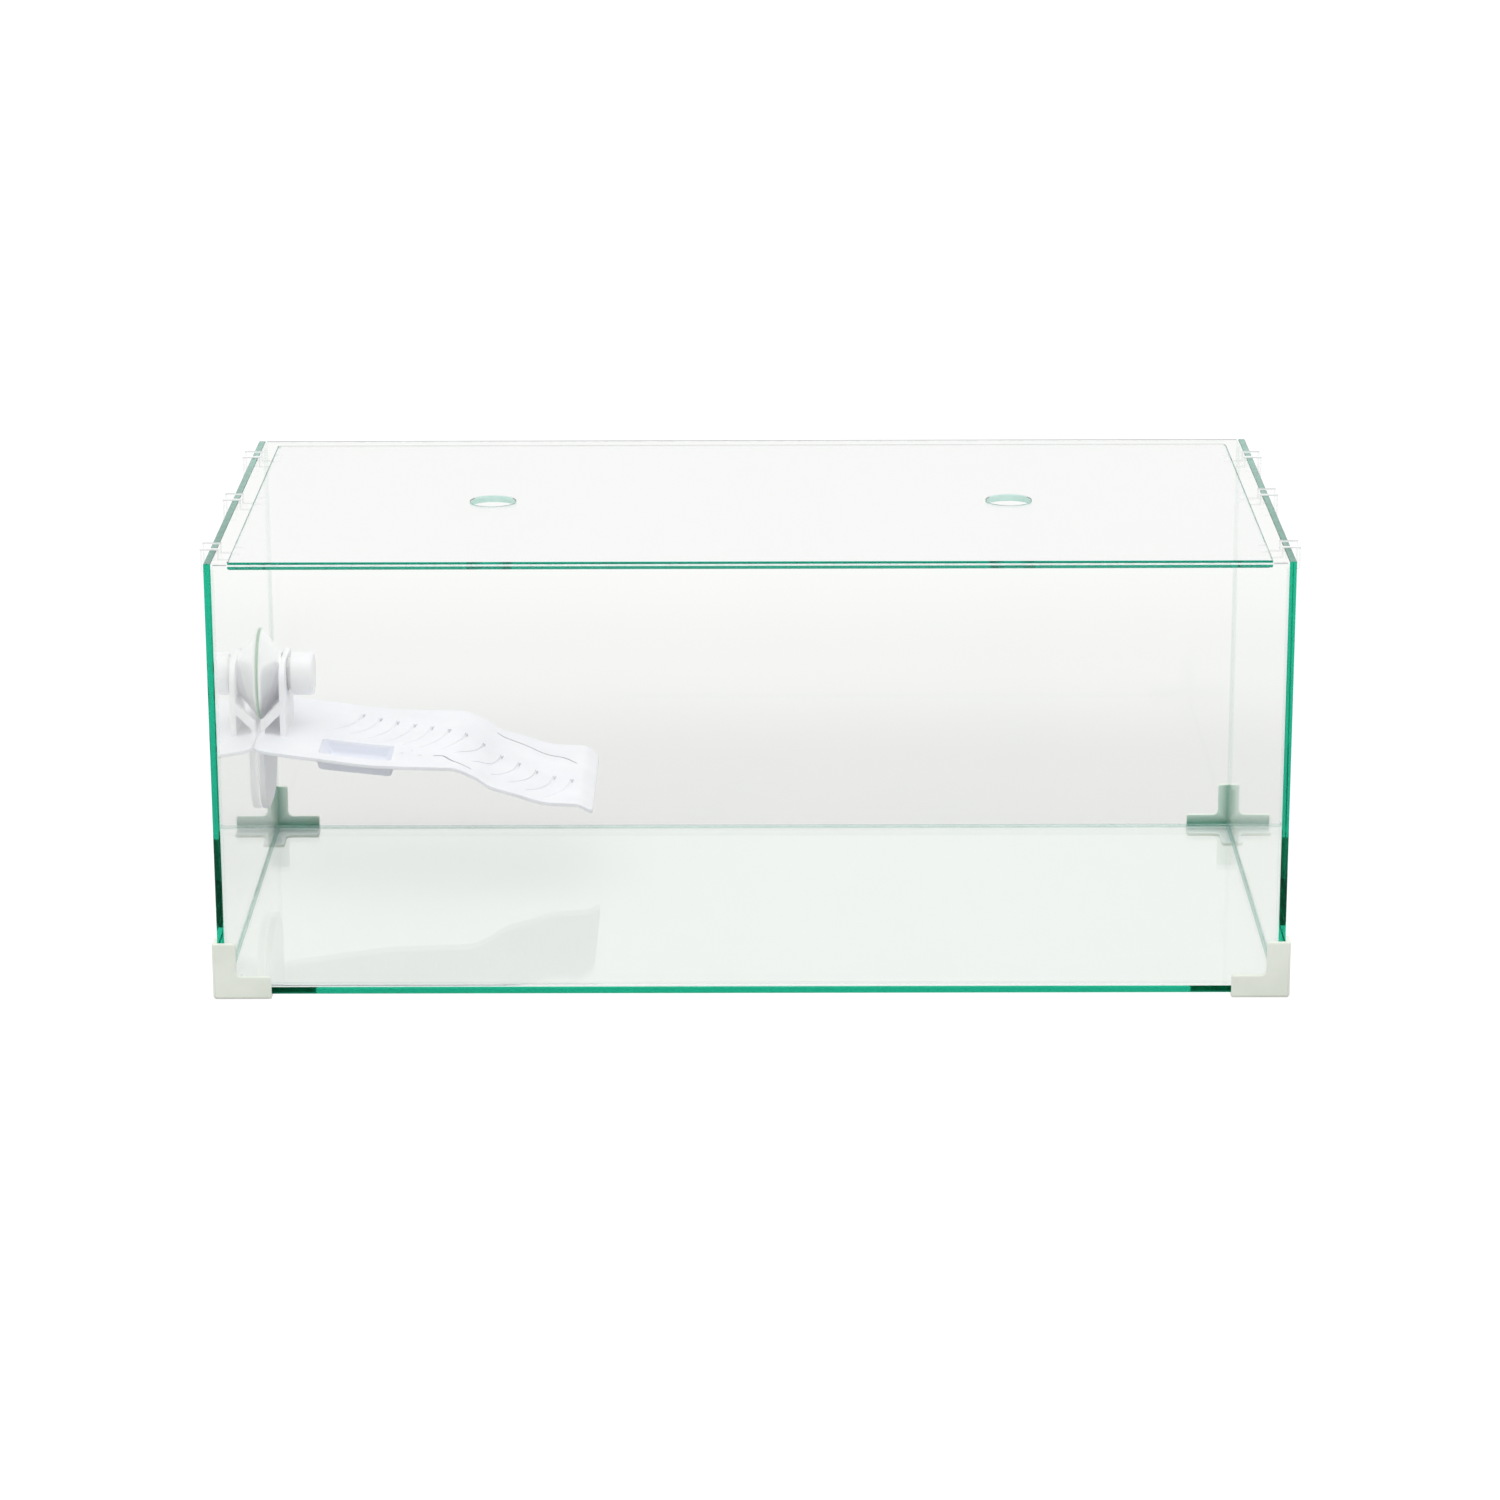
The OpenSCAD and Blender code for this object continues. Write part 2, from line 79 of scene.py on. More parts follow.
# Nodes: places of a colour mix's two colours and its result, and the part of a noise that shows
MIX_A, MIX_B, MIX_OUT = 6, 7, 2
NOISE_LOW, NOISE_HIGH = 0.3, 0.7

# How much of a face's direction lies along an axis: nearly all, most, half, or as on a chamfer
NEARLY, MOSTLY, HALFWAY, LEANING = 0.8, 0.6, 0.5, 0.4

# Glass: refraction, share of light let straight through, absorption per metre for red, green and blue, and
# the volume's density over the largest of these
GLASS_IOR, WALL_IOR, FLOOR_GLASS_IOR = 1.52, 1.3, 1.2
WALL_PASS, LID_PASS = 0.965, 0.985
GLASS_ABSORPTION, DENSITY_OVER = (0.9, 0.3, 0.5), 1.05

# Glass: colours of the faces and of the cut edges, and the edges' gloss and roughness
FACE_LOW, FACE_HIGH, FACE_GRAIN = (0.992, 0.996, 0.994), (0.998, 1.0, 0.999), 9.0
LID_CLARITY = 0.95
TEAL_EDGE, LID_EDGE = (0.026, 0.53, 0.345), (0.006, 0.37, 0.26)
CLEAR_EDGE, REAR_EDGE = (0.86, 0.90, 0.88), (0.97, 0.99, 0.98)
EDGE_GLOSS, PLAIN_GLOSS = (0.12, 0.55, 0.45), (1.0, 1.0, 1.0)
EDGE_ROUGH, HOLE_ROUGH = 0.04, 0.35
HOLE_TINT = (0.62, 0.87, 0.81)
HOLE_X, HOLE_Y, HOLE_NEAR = 0.149, -0.00325, 0.0145
REAR_Y, MID_HEIGHT = 0.1, 0.1

# Glass: rim with its colours at the front and the rear, dark bond below the side walls, and grey lines
TEAL_RIM = ((0.28, 0.45, 0.39), (0.41, 0.59, 0.53))
# On the front and back panels the rim's white is a painted highlight along their upper edges
RIM_PAINTED_HIGHLIGHT = ((0.88, 0.90, 0.89),) * 2
RIM_COVER, RIM_GRAIN, RIM_WEAR = 0.8, 300.0, 0.85
BOND_DARK, BOND_FROM, BOND_GRAIN, BOND_WEAR = (0.010, 0.055, 0.022), 0.012, 60.0, 1.3
LINE_GREY, LINE_ABOVE, LINE_GRAIN, LINE_WEAR = (0.42, 0.425, 0.425), 0.247, 40.0, 0.8

# Grey strips on upper faces: how far from the middle in X, and from which Y on
FRONT_STRIP, BACK_STRIP, LID_STRIP = (0.2875, -0.1485), (0.0, 0.1480), (0.0, 0.1377)

# Clips: height of the bridge over the rim, painted highlight border as a share of the length, cover and
# roughness
RIM_HEIGHT, CLIP_HIGHLIGHT_BORDER = 0.2525, 0.07
CLIP_CLEAR, CLIP_SAWN, CLIP_BRIDGE = 0.06, 0.38, 0.55
CLIP_ROUGH, CLIP_DULL = 0.2, 0.5
CLIP_WHITE, CLIP_GRAIN = ((0.95, 0.96, 0.96), (0.99, 1.0, 1.0)), 300.0

# Silicone: its skin, what passes through it, and how clear each kind of seam is
SILICONE_SKIN, SILICONE_GRAIN = ((0.26, 0.52, 0.45), (0.38, 0.62, 0.55)), 60.0
SILICONE_PASS, SILICONE_ROUGH, SILICONE_IOR = (0.985, 0.995, 0.99, 1), 0.3, 1.41
SEAM_CLEAR, SEAM_PALE, SEAM_GREENISH = 0.975, 0.79, 0.72

# Moulded plastic: colours that wander between two values, the fine skin, the reach of light inside, and
# finishes as roughness, scale and strength of the skin
PLASTIC_IOR, PLASTIC_GRAIN = 1.49, 35.0
SKIN_DEPTH, SKIN_DETAIL, SHINE_RANGE = 0.0003, 4.0, 0.12
GLOW_RADIUS, KNOB_GLOW = (0.003, 0.003, 0.0035), 0.5
GUARD_FINISH, KNOB_FINISH, STUD_FINISH = (0.42, 900.0, 0.12), (0.32, 700.0, 0.06), (0.35, 700.0, 0.06)
KNOB_WHITE = (0.93, 0.94, 0.945), (0.965, 0.97, 0.975)
STUD_WHITE = (0.80, 0.82, 0.84), (0.88, 0.89, 0.91)
DECK_WHITE = (0.86, 0.865, 0.905), (0.90, 0.905, 0.95)
# Painted light: a lighter white than the deck's, for the upright plate, struts and tongue
FRAME_PAINTED_BRIGHT = (0.94, 0.945, 0.96), (0.97, 0.975, 0.99)
TROUGH_LILAC = (0.83, 0.85, 0.92), (0.87, 0.89, 0.96)
# Grey of the deck's grooves: painted shade in the grooves
GROOVE_PAINTED_SHADE = (0.50, 0.51, 0.54), (0.60, 0.61, 0.64)

# Guards: white outside, and the painted shade and light of the faces that lie on the glass with the places
# where they change
GUARD_WHITE = (0.83, 0.87, 0.78), (0.89, 0.93, 0.84)
# Pale and deep green painted shade, and painted light that is lighter than the plastic's white
GUARD_SHADE_PALE, GUARD_SHADE_DEEP, GUARD_PAINTED_LIGHT = (0.72, 0.89, 0.79), (0.01, 0.26, 0.15), (0.96, 1.0, 0.98)
GUARD_IN_X, GUARD_IN_Y, GUARD_PLATE_Z, GUARD_ARM_Z = 0.3003, 0.1503, 0.002, 0.004
GUARD_CORNER, GUARD_FOOT, GUARD_REAR = (0.289, 0.2990), (0.0165, 0.006), (0.140, 0.149)

# Suction cup: pearly white, painted shade on its lower side by the upright plate, and its rim on the glass
CUP_WHITE, CUP_GRAIN = ((0.96, 0.97, 0.965), (0.99, 0.995, 0.99)), 80.0
CUP_SHADE, CUP_RIM = (0.84, 0.83, 0.87), (0.40, 0.57, 0.43)
CUP_SHADE_X, CUP_SHADE_Z, CUP_SHADE_LEAN, CUP_SHADE_TOP = -0.2950, 0.099, 0.281, 0.133
CUP_SHADE_SOFT, CUP_RIM_X = 0.0016, (-0.2946, -0.2955)
CUP_ROUGH, CUP_IOR, CUP_PEARL, CUP_DULL = 0.35, 1.5, 0.9, 0.9

# Softened edges in metres, the angle that makes an edge, and the air round pieces that touch others
PANEL_BEVEL, RIM_BEVEL, CLIP_BEVEL, GUARD_BEVEL, KNOB_BEVEL = 0.0004, 0.0005, 0.0002, 0.0010, 0.0006
BEVEL_ANGLE = math.radians(35)
AIR, GUARD_AIR = 0.00004, 0.00005


def new_material(name):
    """An empty node material and its output."""
    material = bpy.data.materials.new(name)
    material.use_nodes = True
    tree = material.node_tree
    tree.nodes.clear()
    return material, tree, tree.nodes.new("ShaderNodeOutputMaterial")


def add(tree, kind, **values):
    """A node with its sockets and properties set by name."""
    node = tree.nodes.new(kind)
    for key, value in values.items():
        socket = node.inputs.get(key.replace("_", " "))
        if socket is not None:
            socket.default_value = value
        else:
            setattr(node, key, value)
    return node


def feed(tree, value, socket):
    """Sets a socket to a number or colour, or links it to another socket."""
    if isinstance(value, bpy.types.NodeSocket):
        tree.links.new(value, socket)
    elif isinstance(value, tuple) and len(value) == 3 and socket.type == "RGBA":
        socket.default_value = (*value, 1)
    else:
        socket.default_value = value


def calc(tree, operation, a, b=0.0):
    """One step of arithmetic on numbers or sockets."""
    node = add(tree, "ShaderNodeMath", operation=operation)
    feed(tree, a, node.inputs[0])
    feed(tree, b, node.inputs[1])
    return node.outputs[0]


def product(tree, *values):
    """Product of numbers or sockets: of masks, 1 where all of them are 1."""
    result = values[0]
    for value in values[1:]:
        result = calc(tree, "MULTIPLY", result, value)
    return result


def inverse(tree, mask):
    """1 where the mask is 0, and 0 where it is 1."""
    return calc(tree, "SUBTRACT", 1.0, mask)


def straight(tree, value, rise, start):
    """Straight line that is start where the value is 0, and higher by rise where it is 1."""
    return calc(tree, "ADD", calc(tree, "MULTIPLY", value, rise), start)


def faces(tree, normal, axis, least):
    """1 on the faces that look along an axis, either way."""
    return calc(tree, "GREATER_THAN", calc(tree, "ABSOLUTE", normal[axis]), least)


def dimmed(colour, share):
    """A colour times a number."""
    return tuple(c * share for c in colour)


def ramp_between(tree, value, low, high):
    """0 below low, 1 above high and smooth between."""
    node = add(tree, "ShaderNodeMapRange", interpolation_type="SMOOTHSTEP")
    node.inputs["From Min"].default_value = low
    node.inputs["From Max"].default_value = high
    feed(tree, value, node.inputs["Value"])
    return node.outputs[0]


def mix_colour(tree, factor, a, b):
    """Colour a where factor is 0, colour b where it is 1."""
    node = add(tree, "ShaderNodeMix", data_type="RGBA")
    feed(tree, factor, node.inputs[0])
    feed(tree, a, node.inputs[MIX_A])
    feed(tree, b, node.inputs[MIX_B])
    return node.outputs[MIX_OUT]


def mix_shader(tree, factor, a, b):
    """Shader a where factor is 0, shader b where it is 1."""
    node = add(tree, "ShaderNodeMixShader")
    feed(tree, factor, node.inputs[0])
    tree.links.new(a, node.inputs[1])
    tree.links.new(b, node.inputs[2])
    return node.outputs[0]


def add_shaders(tree, a, b):
    """The sum of two shader nodes."""
    node = add(tree, "ShaderNodeAddShader")
    tree.links.new(a.outputs[0], node.inputs[0])
    tree.links.new(b.outputs[0], node.inputs[1])
    return node.outputs[0]


def axes(tree, kind):
    """The three components of a texture coordinate of the piece itself."""
    place = add(tree, "ShaderNodeTexCoord")
    split = add(tree, "ShaderNodeSeparateXYZ")
    tree.links.new(place.outputs[kind], split.inputs[0])
    return split.outputs


def grain(tree, scale, low, high, detail=3.0):
    """A noise that wanders between two colours."""
    place = add(tree, "ShaderNodeTexCoord")
    noise = add(tree, "ShaderNodeTexNoise", Scale=scale, Detail=detail)
    tree.links.new(place.outputs["Object"], noise.inputs["Vector"])
    return mix_colour(tree, ramp_between(tree, noise.outputs["Fac"], NOISE_LOW, NOISE_HIGH), low, high)


def passing_light(tree):
    """1 for shadow and diffuse rays, which go straight through the glass."""
    path = add(tree, "ShaderNodeLightPath")
    return calc(tree, "MAXIMUM", path.outputs["Is Shadow Ray"], path.outputs["Is Diffuse Ray"])


def absorb(tree, output, per_metre):
    """Beer's law in the solid."""
    density = max(per_metre) * DENSITY_OVER
    colour = tuple(1 - a / density for a in per_metre)
    volume = add(tree, "ShaderNodeVolumeAbsorption", Color=(*colour, 1), Density=density)
    tree.links.new(volume.outputs[0], output.inputs["Volume"])


def clear_surface(tree, colour, roughness, ior, passed, gloss):
    """Clear shader that lets a share of the light rays straight through."""
    body = add(tree, "ShaderNodeBsdfPrincipled", IOR=ior, Transmission_Weight=1.0)
    feed(tree, colour, body.inputs["Base Color"])
    feed(tree, roughness, body.inputs["Roughness"])
    feed(tree, gloss, body.inputs["Specular Tint"])
    through = add(tree, "ShaderNodeBsdfTransparent", Color=(passed, passed, passed, 1))
    return mix_shader(tree, passing_light(tree), body.outputs[0], through.outputs[0])


def cover(tree, surface, share, colour):
    """A dull colour over a share of a surface."""
    dull = add(tree, "ShaderNodeBsdfDiffuse")
    feed(tree, colour, dull.inputs["Color"])
    return mix_shader(tree, share, surface, dull.outputs[0])


def near_hole(tree):
    """1 on the walls of the lid's two finger holes."""
    place = axes(tree, "Object")
    x = calc(tree, "SUBTRACT", calc(tree, "ABSOLUTE", place[0]), HOLE_X)
    y = calc(tree, "SUBTRACT", place[1], HOLE_Y)
    reach = calc(tree, "SQRT", calc(tree, "ADD", product(tree, x, x), product(tree, y, y)))
    return calc(tree, "LESS_THAN", reach, HOLE_NEAR)


def edge_colours(tree, normal, place, edge):
    """Tint and gloss of cut edges. A front edge holds the whole tint of a view from front to back, a rear
    edge almost none."""
    lengthways = faces(tree, normal, 1, MOSTLY)
    rear = calc(tree, "GREATER_THAN", place[1], REAR_Y)
    ends = mix_colour(tree, rear, tuple(c * c for c in edge), REAR_EDGE)
    gloss = mix_colour(tree, product(tree, lengthways, rear), EDGE_GLOSS, PLAIN_GLOSS)
    return mix_colour(tree, lengthways, edge, ends), gloss


def edge_lines(tree, normal, place, thin, from_x, from_y):
    """1 on the lines seen along a plate's upper edges: chamfers that don't face front or rear, and a strip on
    its upper face. Only the outside of the glass has them."""
    lean = calc(tree, "ABSOLUTE", normal[thin])
    chamfer = product(tree, calc(tree, "GREATER_THAN", lean, LEANING), calc(tree, "LESS_THAN", lean, NEARLY),
                      calc(tree, "LESS_THAN", calc(tree, "ABSOLUTE", normal[1]), LEANING))
    strip = product(tree, faces(tree, normal, 2, NEARLY), calc(tree, "GREATER_THAN", place[1], from_y),
                    calc(tree, "GREATER_THAN", calc(tree, "ABSOLUTE", place[0]), from_x))
    high = calc(tree, "GREATER_THAN", place[2], LINE_ABOVE)
    outside = inverse(tree, add(tree, "ShaderNodeNewGeometry").outputs["Backfacing"])
    return product(tree, calc(tree, "MAXIMUM", chamfer, strip), high, outside)


def glass(name, thin, edge, ior=GLASS_IOR, passed=WALL_PASS, clarity=1.0, holes=False, lined=None, rim=None,
          bonded=False):
    """Float glass that is thin along one axis: clear faces and cut edges, tinted if edge gives a tint, and
    where asked frosted holes, grey lines along the upper edges, a rim colour on the upper faces, a painted
    highlight where it is white, and a bonded foot."""
    material, tree, output = new_material(name)
    normal, place = axes(tree, "Normal"), axes(tree, "Object")
    face = faces(tree, normal, thin, NEARLY)
    cut = inverse(tree, face)
    tint, gloss = CLEAR_EDGE, PLAIN_GLOSS
    if edge:
        tint, edge_gloss = edge_colours(tree, normal, place, edge)
        gloss = mix_colour(tree, face, edge_gloss, PLAIN_GLOSS)
    clear = grain(tree, FACE_GRAIN, dimmed(FACE_LOW, clarity), dimmed(FACE_HIGH, clarity))
    colour = mix_colour(tree, face, tint, clear)
    roughness = calc(tree, "MULTIPLY", cut, EDGE_ROUGH)
    if holes:
        hole = product(tree, near_hole(tree), cut)
        colour = mix_colour(tree, hole, colour, HOLE_TINT)
        roughness = straight(tree, hole, HOLE_ROUGH, roughness)
    surface = clear_surface(tree, colour, roughness, ior, passed, gloss)
    level = faces(tree, normal, 2, NEARLY)
    upper = calc(tree, "GREATER_THAN", place[2], MID_HEIGHT)
    if rim:
        # Rim colour on the upper faces; where it is white it is a painted highlight
        ends = [grain(tree, RIM_GRAIN, dimmed(shade, RIM_WEAR), shade) for shade in rim]
        rim_colour = mix_colour(tree, ramp_between(tree, place[1], -FOOT_Y, FOOT_Y), *ends)
        surface = cover(tree, surface, product(tree, level, upper, RIM_COVER), rim_colour)
    if lined:
        grey = grain(tree, LINE_GRAIN, dimmed(LINE_GREY, LINE_WEAR), LINE_GREY)
        surface = cover(tree, surface, edge_lines(tree, normal, place, thin, *lined), grey)
    if bonded:
        dark = grain(tree, BOND_GRAIN, BOND_DARK, dimmed(BOND_DARK, BOND_WEAR))
        behind = calc(tree, "GREATER_THAN", place[1], BOND_FROM)
        surface = cover(tree, surface, product(tree, level, inverse(tree, upper), behind), dark)
    tree.links.new(surface, output.inputs["Surface"])
    absorb(tree, output, GLASS_ABSORPTION)
    return material


def clip_plastic(name):
    """Thin clear plastic with dull white sawn ends, partly frosted and partly painted highlight, and a
    painted highlight border in front, thickest over the rim.
    """
    material, tree, output = new_material(name)
    bridge = calc(tree, "GREATER_THAN", axes(tree, "Object")[2], RIM_HEIGHT)
    # Painted highlight: a white border in front, and white ends that are partly their frosted cut
    highlight_border = product(tree, calc(tree, "LESS_THAN", axes(tree, "Generated")[1], CLIP_HIGHLIGHT_BORDER), bridge)
    white = calc(tree, "MAXIMUM", highlight_border, faces(tree, axes(tree, "Normal"), 1, MOSTLY))
    body = add(tree, "ShaderNodeBsdfPrincipled", IOR=PLASTIC_IOR)
    feed(tree, grain(tree, CLIP_GRAIN, *CLIP_WHITE), body.inputs["Base Color"])
    feed(tree, straight(tree, white, CLIP_DULL, CLIP_ROUGH), body.inputs["Roughness"])
    solid = straight(tree, bridge, CLIP_BRIDGE, CLIP_SAWN)
    feed(tree, straight(tree, white, solid, CLIP_CLEAR), body.inputs["Alpha"])
    tree.links.new(body.outputs[0], output.inputs["Surface"])
    return material


def silicone(name, clear):
    """Clear silicone: mostly see-through, with a soft greenish grey skin."""
    material, tree, output = new_material(name)
    skin = add(tree, "ShaderNodeBsdfPrincipled", Roughness=SILICONE_ROUGH, IOR=SILICONE_IOR)
    feed(tree, grain(tree, SILICONE_GRAIN, *SILICONE_SKIN), skin.inputs["Base Color"])
    through = add(tree, "ShaderNodeBsdfTransparent", Color=SILICONE_PASS)
    surface = mix_shader(tree, clear, skin.outputs[0], through.outputs[0])
    tree.links.new(surface, output.inputs["Surface"])
    return material


def moulded(name, colour_of, roughness, bump_scale, bump, subsurface=0.0):
    """Moulded plastic with a fine skin. colour_of draws its colour in the node tree."""
    material, tree, output = new_material(name)
    body = add(tree, "ShaderNodeBsdfPrincipled", IOR=PLASTIC_IOR)
    feed(tree, colour_of(tree), body.inputs["Base Color"])
    place = add(tree, "ShaderNodeTexCoord")
    fine = add(tree, "ShaderNodeTexNoise", Scale=bump_scale, Detail=SKIN_DETAIL)
    tree.links.new(place.outputs["Object"], fine.inputs["Vector"])
    skin = add(tree, "ShaderNodeBump", Strength=bump, Distance=SKIN_DEPTH)
    tree.links.new(fine.outputs["Fac"], skin.inputs["Height"])
    tree.links.new(skin.outputs["Normal"], body.inputs["Normal"])
    shine = straight(tree, fine.outputs["Fac"], SHINE_RANGE, roughness - SHINE_RANGE / 2)
    tree.links.new(shine, body.inputs["Roughness"])
    if subsurface:
        body.inputs["Subsurface Weight"].default_value = subsurface
        body.inputs["Subsurface Radius"].default_value = GLOW_RADIUS
        body.inputs["Subsurface Scale"].default_value = 1.0
    tree.links.new(body.outputs[0], output.inputs["Surface"])
    return material


def mottle(low, high):
    """A plain moulded colour that wanders a little."""
    return lambda tree: grain(tree, PLASTIC_GRAIN, low, high)


def guard_colour(tree):
    """White outside. Where the guard lies on the glass its colour is painted shade and light: green shade,
    deep in the corner and along its foot, and painted light on the side walls away from the corner and on the
    plate under the floor glass."""
    place, normal = axes(tree, "Object"), axes(tree, "Normal")
    across, along, height = calc(tree, "ABSOLUTE", place[0]), calc(tree, "ABSOLUTE", place[1]), place[2]
    inside = product(tree, calc(tree, "LESS_THAN", across, GUARD_IN_X),
                     calc(tree, "LESS_THAN", along, GUARD_IN_Y))
    # Painted shade, deep in the corner and along the foot, and painted light on the side walls and the plate
    corner, foot = ramp_between(tree, across, *GUARD_CORNER), ramp_between(tree, height, *GUARD_FOOT)
    rear_arm = mix_colour(tree, calc(tree, "MAXIMUM", corner, foot), GUARD_SHADE_PALE, GUARD_SHADE_DEEP)
    side_arm = mix_colour(tree, ramp_between(tree, along, *GUARD_REAR), GUARD_PAINTED_LIGHT, GUARD_SHADE_PALE)
    arms = mix_colour(tree, faces(tree, normal, 0, HALFWAY), rear_arm, side_arm)
    white = mottle(*GUARD_WHITE)(tree)
    plate = mix_colour(tree, calc(tree, "GREATER_THAN", height, GUARD_PLATE_Z), white, GUARD_PAINTED_LIGHT)
    painted_on_glass = mix_colour(tree, calc(tree, "GREATER_THAN", height, GUARD_ARM_Z), plate, arms)
    return mix_colour(tree, inside, white, painted_on_glass)


def vinyl(name):
    """Soft pearly vinyl of the suction cup: white, with painted shade on its lower side towards the upright
    plate and a dull pale green rim on the glass."""
    material, tree, output = new_material(name)
    place = axes(tree, "Object")
    # Painted shade: darker on the lower side of the cup next to the upright plate
    slope = calc(tree, "MULTIPLY", calc(tree, "SUBTRACT", place[2], CUP_SHADE_Z), CUP_SHADE_LEAN)
    depth = calc(tree, "SUBTRACT", place[0], slope)
    painted_shade = product(tree, ramp_between(tree, depth, CUP_SHADE_X, CUP_SHADE_X + CUP_SHADE_SOFT),
                   calc(tree, "LESS_THAN", place[2], CUP_SHADE_TOP))
    rim = ramp_between(tree, place[0], *CUP_RIM_X)
    body = add(tree, "ShaderNodeBsdfPrincipled", Roughness=CUP_ROUGH, IOR=CUP_IOR)
    cone = mix_colour(tree, painted_shade, grain(tree, CUP_GRAIN, *CUP_WHITE), CUP_SHADE)
    feed(tree, mix_colour(tree, rim, cone, CUP_RIM), body.inputs["Base Color"])
    dull = calc(tree, "MAXIMUM", rim, calc(tree, "MULTIPLY", painted_shade, CUP_DULL))
    feed(tree, calc(tree, "MULTIPLY", inverse(tree, dull), CUP_PEARL), body.inputs["Metallic"])
    tree.links.new(body.outputs[0], output.inputs["Surface"])
    return material


def dress(names, material, bevel=0.0, segments=1, air=0.0):
    """Gives CAD nodes their material, softened edges and a hair of air round them."""
    for name in names:
        obj = NODES[name]
        obj.data.materials.clear()
        obj.data.materials.append(material)
        weld = obj.modifiers.new("weld", "WELD")
        weld.merge_threshold = WELD
        if bevel:
            edge = obj.modifiers.new("edge", "BEVEL")
            edge.width = bevel
            edge.segments = segments
            edge.limit_method = "ANGLE"
            edge.angle_limit = BEVEL_ANGLE
            edge.use_clamp_overlap = segments > 1
        if air:
            shrink = obj.modifiers.new("air", "DISPLACE")
            shrink.strength = -air
            shrink.mid_level = 0.0


def dress_glass():
    """Materials and softened edges of the panels and the lid."""
    bottom = glass("tank_glass_bottom", 2, TEAL_EDGE, ior=FLOOR_GLASS_IOR)
    sides = glass("tank_glass_sides", 0, TEAL_EDGE, rim=TEAL_RIM, bonded=True)
    front = glass("tank_glass_front", 1, None, ior=WALL_IOR, lined=FRONT_STRIP, rim=RIM_PAINTED_HIGHLIGHT)
    back = glass("tank_glass_back", 1, None, ior=WALL_IOR, lined=BACK_STRIP, rim=RIM_PAINTED_HIGHLIGHT)
    lid = glass("lid_glass_teal", 2, LID_EDGE, passed=LID_PASS, clarity=LID_CLARITY, holes=True,
                lined=LID_STRIP)
    dress(("bottom_panel",), bottom, PANEL_BEVEL)
    dress(("left_panel", "right_panel"), sides, PANEL_BEVEL)
    dress(("front_panel",), front, PANEL_BEVEL)
    dress(("back_panel",), back, RIM_BEVEL)
    dress(("lid_glass",), lid, RIM_BEVEL)


def dress_fittings():
    """Materials and softened edges of the other pieces that keep their CAD shape."""
    clear_seams = tuple(n for n in SEAMS if "bottom" not in n) + ("seam_bottom_front",)
    dress(clear_seams, silicone("silicone_clear", SEAM_CLEAR), air=AIR)
    dress(("seam_bottom_back",), silicone("silicone_pale", SEAM_PALE), air=AIR)
    dress(("seam_bottom_left", "seam_bottom_right"), silicone("silicone_greenish", SEAM_GREENISH), air=AIR)
    dress(CLIPS, clip_plastic("clip_plastic_clear"), CLIP_BEVEL, air=AIR)
    guard = moulded("guard_plastic_white", guard_colour, *GUARD_FINISH)
    dress(GUARDS, guard, GUARD_BEVEL, segments=4, air=GUARD_AIR)
    knob = moulded("knob_plastic_white", mottle(*KNOB_WHITE), *KNOB_FINISH, subsurface=KNOB_GLOW)
    dress(("lock_knob",), knob, KNOB_BEVEL, segments=3)
    dress(("cup_stud",), moulded("stud_plastic_white", mottle(*STUD_WHITE), *STUD_FINISH))
    dress(("suction_cup",), vinyl("cup_vinyl_white"))


# Basking platform, in millimetres: X from the left wall's inside face, Y and Z as in the tank
WALL_X = -296.0
DECK_Y0, DECK_Y1 = 21.5, 142.5
DECK_X0, DECK_LEN, DECK_FALL = 0.5, 200.5, 39.4
DECK_Z, DECK_T = 95.2, 2.2
DECK_WALL_R, DECK_END_R = 6.0, 7.0
DECK_EDGE, PLATE_EDGE, STRUT_EDGE, TONGUE_EDGE = 0.3, 0.5, 0.4, 0.6

# Deck's sheet: the number of cuts that let it bend, the distance within which a cut takes a point, the
# distance within which points become one, and the wave as shares of its length and its fall
SHEET_CUTS, CUT_SNAP, SHEET_MERGE = 110, 1e-4, 0.012
WAVE = ((0, 0), (0.06, 0.05), (0.2, 0.15), (0.37, 0.255), (0.51, 0.28), (0.58, 0.29),
        (0.65, 0.42), (0.7, 0.585), (0.77, 0.695), (0.87, 0.84), (0.955, 0.865), (1, 1))

# Drain slots and their long holes. A slot runs a hair past its hole's end, so that no points of the two meet.
# Widths and depths are at one end and what is added up to the other end, or to the middle of a line
SLOTS, SLOT_PITCH, SLOT_STEP = 13, 10.8, 4.5
SLOT_R, SLOT_TURN, SLOT_X, SLOT_Y = 60.0, 42.0, 57.7, 18.2
SLOT_REACH, SLOT_HALF, SLOT_DEEP, SLOT_STEPS = 1.004, (0.7, 0.7), (0.3, 0.7), 22
DRAIN_R, DRAIN_FROM, DRAIN_STEPS = 0.5, 0.89, 8
LINE_HALF, LINE_DEEP, LINE_FADE = (0.35, 0.3), (0.5, 0.9), 0.3
TOOL_SIDES = 14
BACK_LINE = ((139, 12.4), (144, 15.7), (156, 19.5), (169, 25.2), (180, 27), (189, 39))
FRONT_LINE = ((105.3, 97.4), (111.6, 97), (117.3, 107.8), (129, 110.8))
DIMPLES = ((86.5, 94.6), (91.5, 88.5), (97.5, 97.5))
DIMPLE_R, DIMPLE_UP, DIMPLE_ROWS, DIMPLE_SIDES = 1.6, 0.5, 12, 20

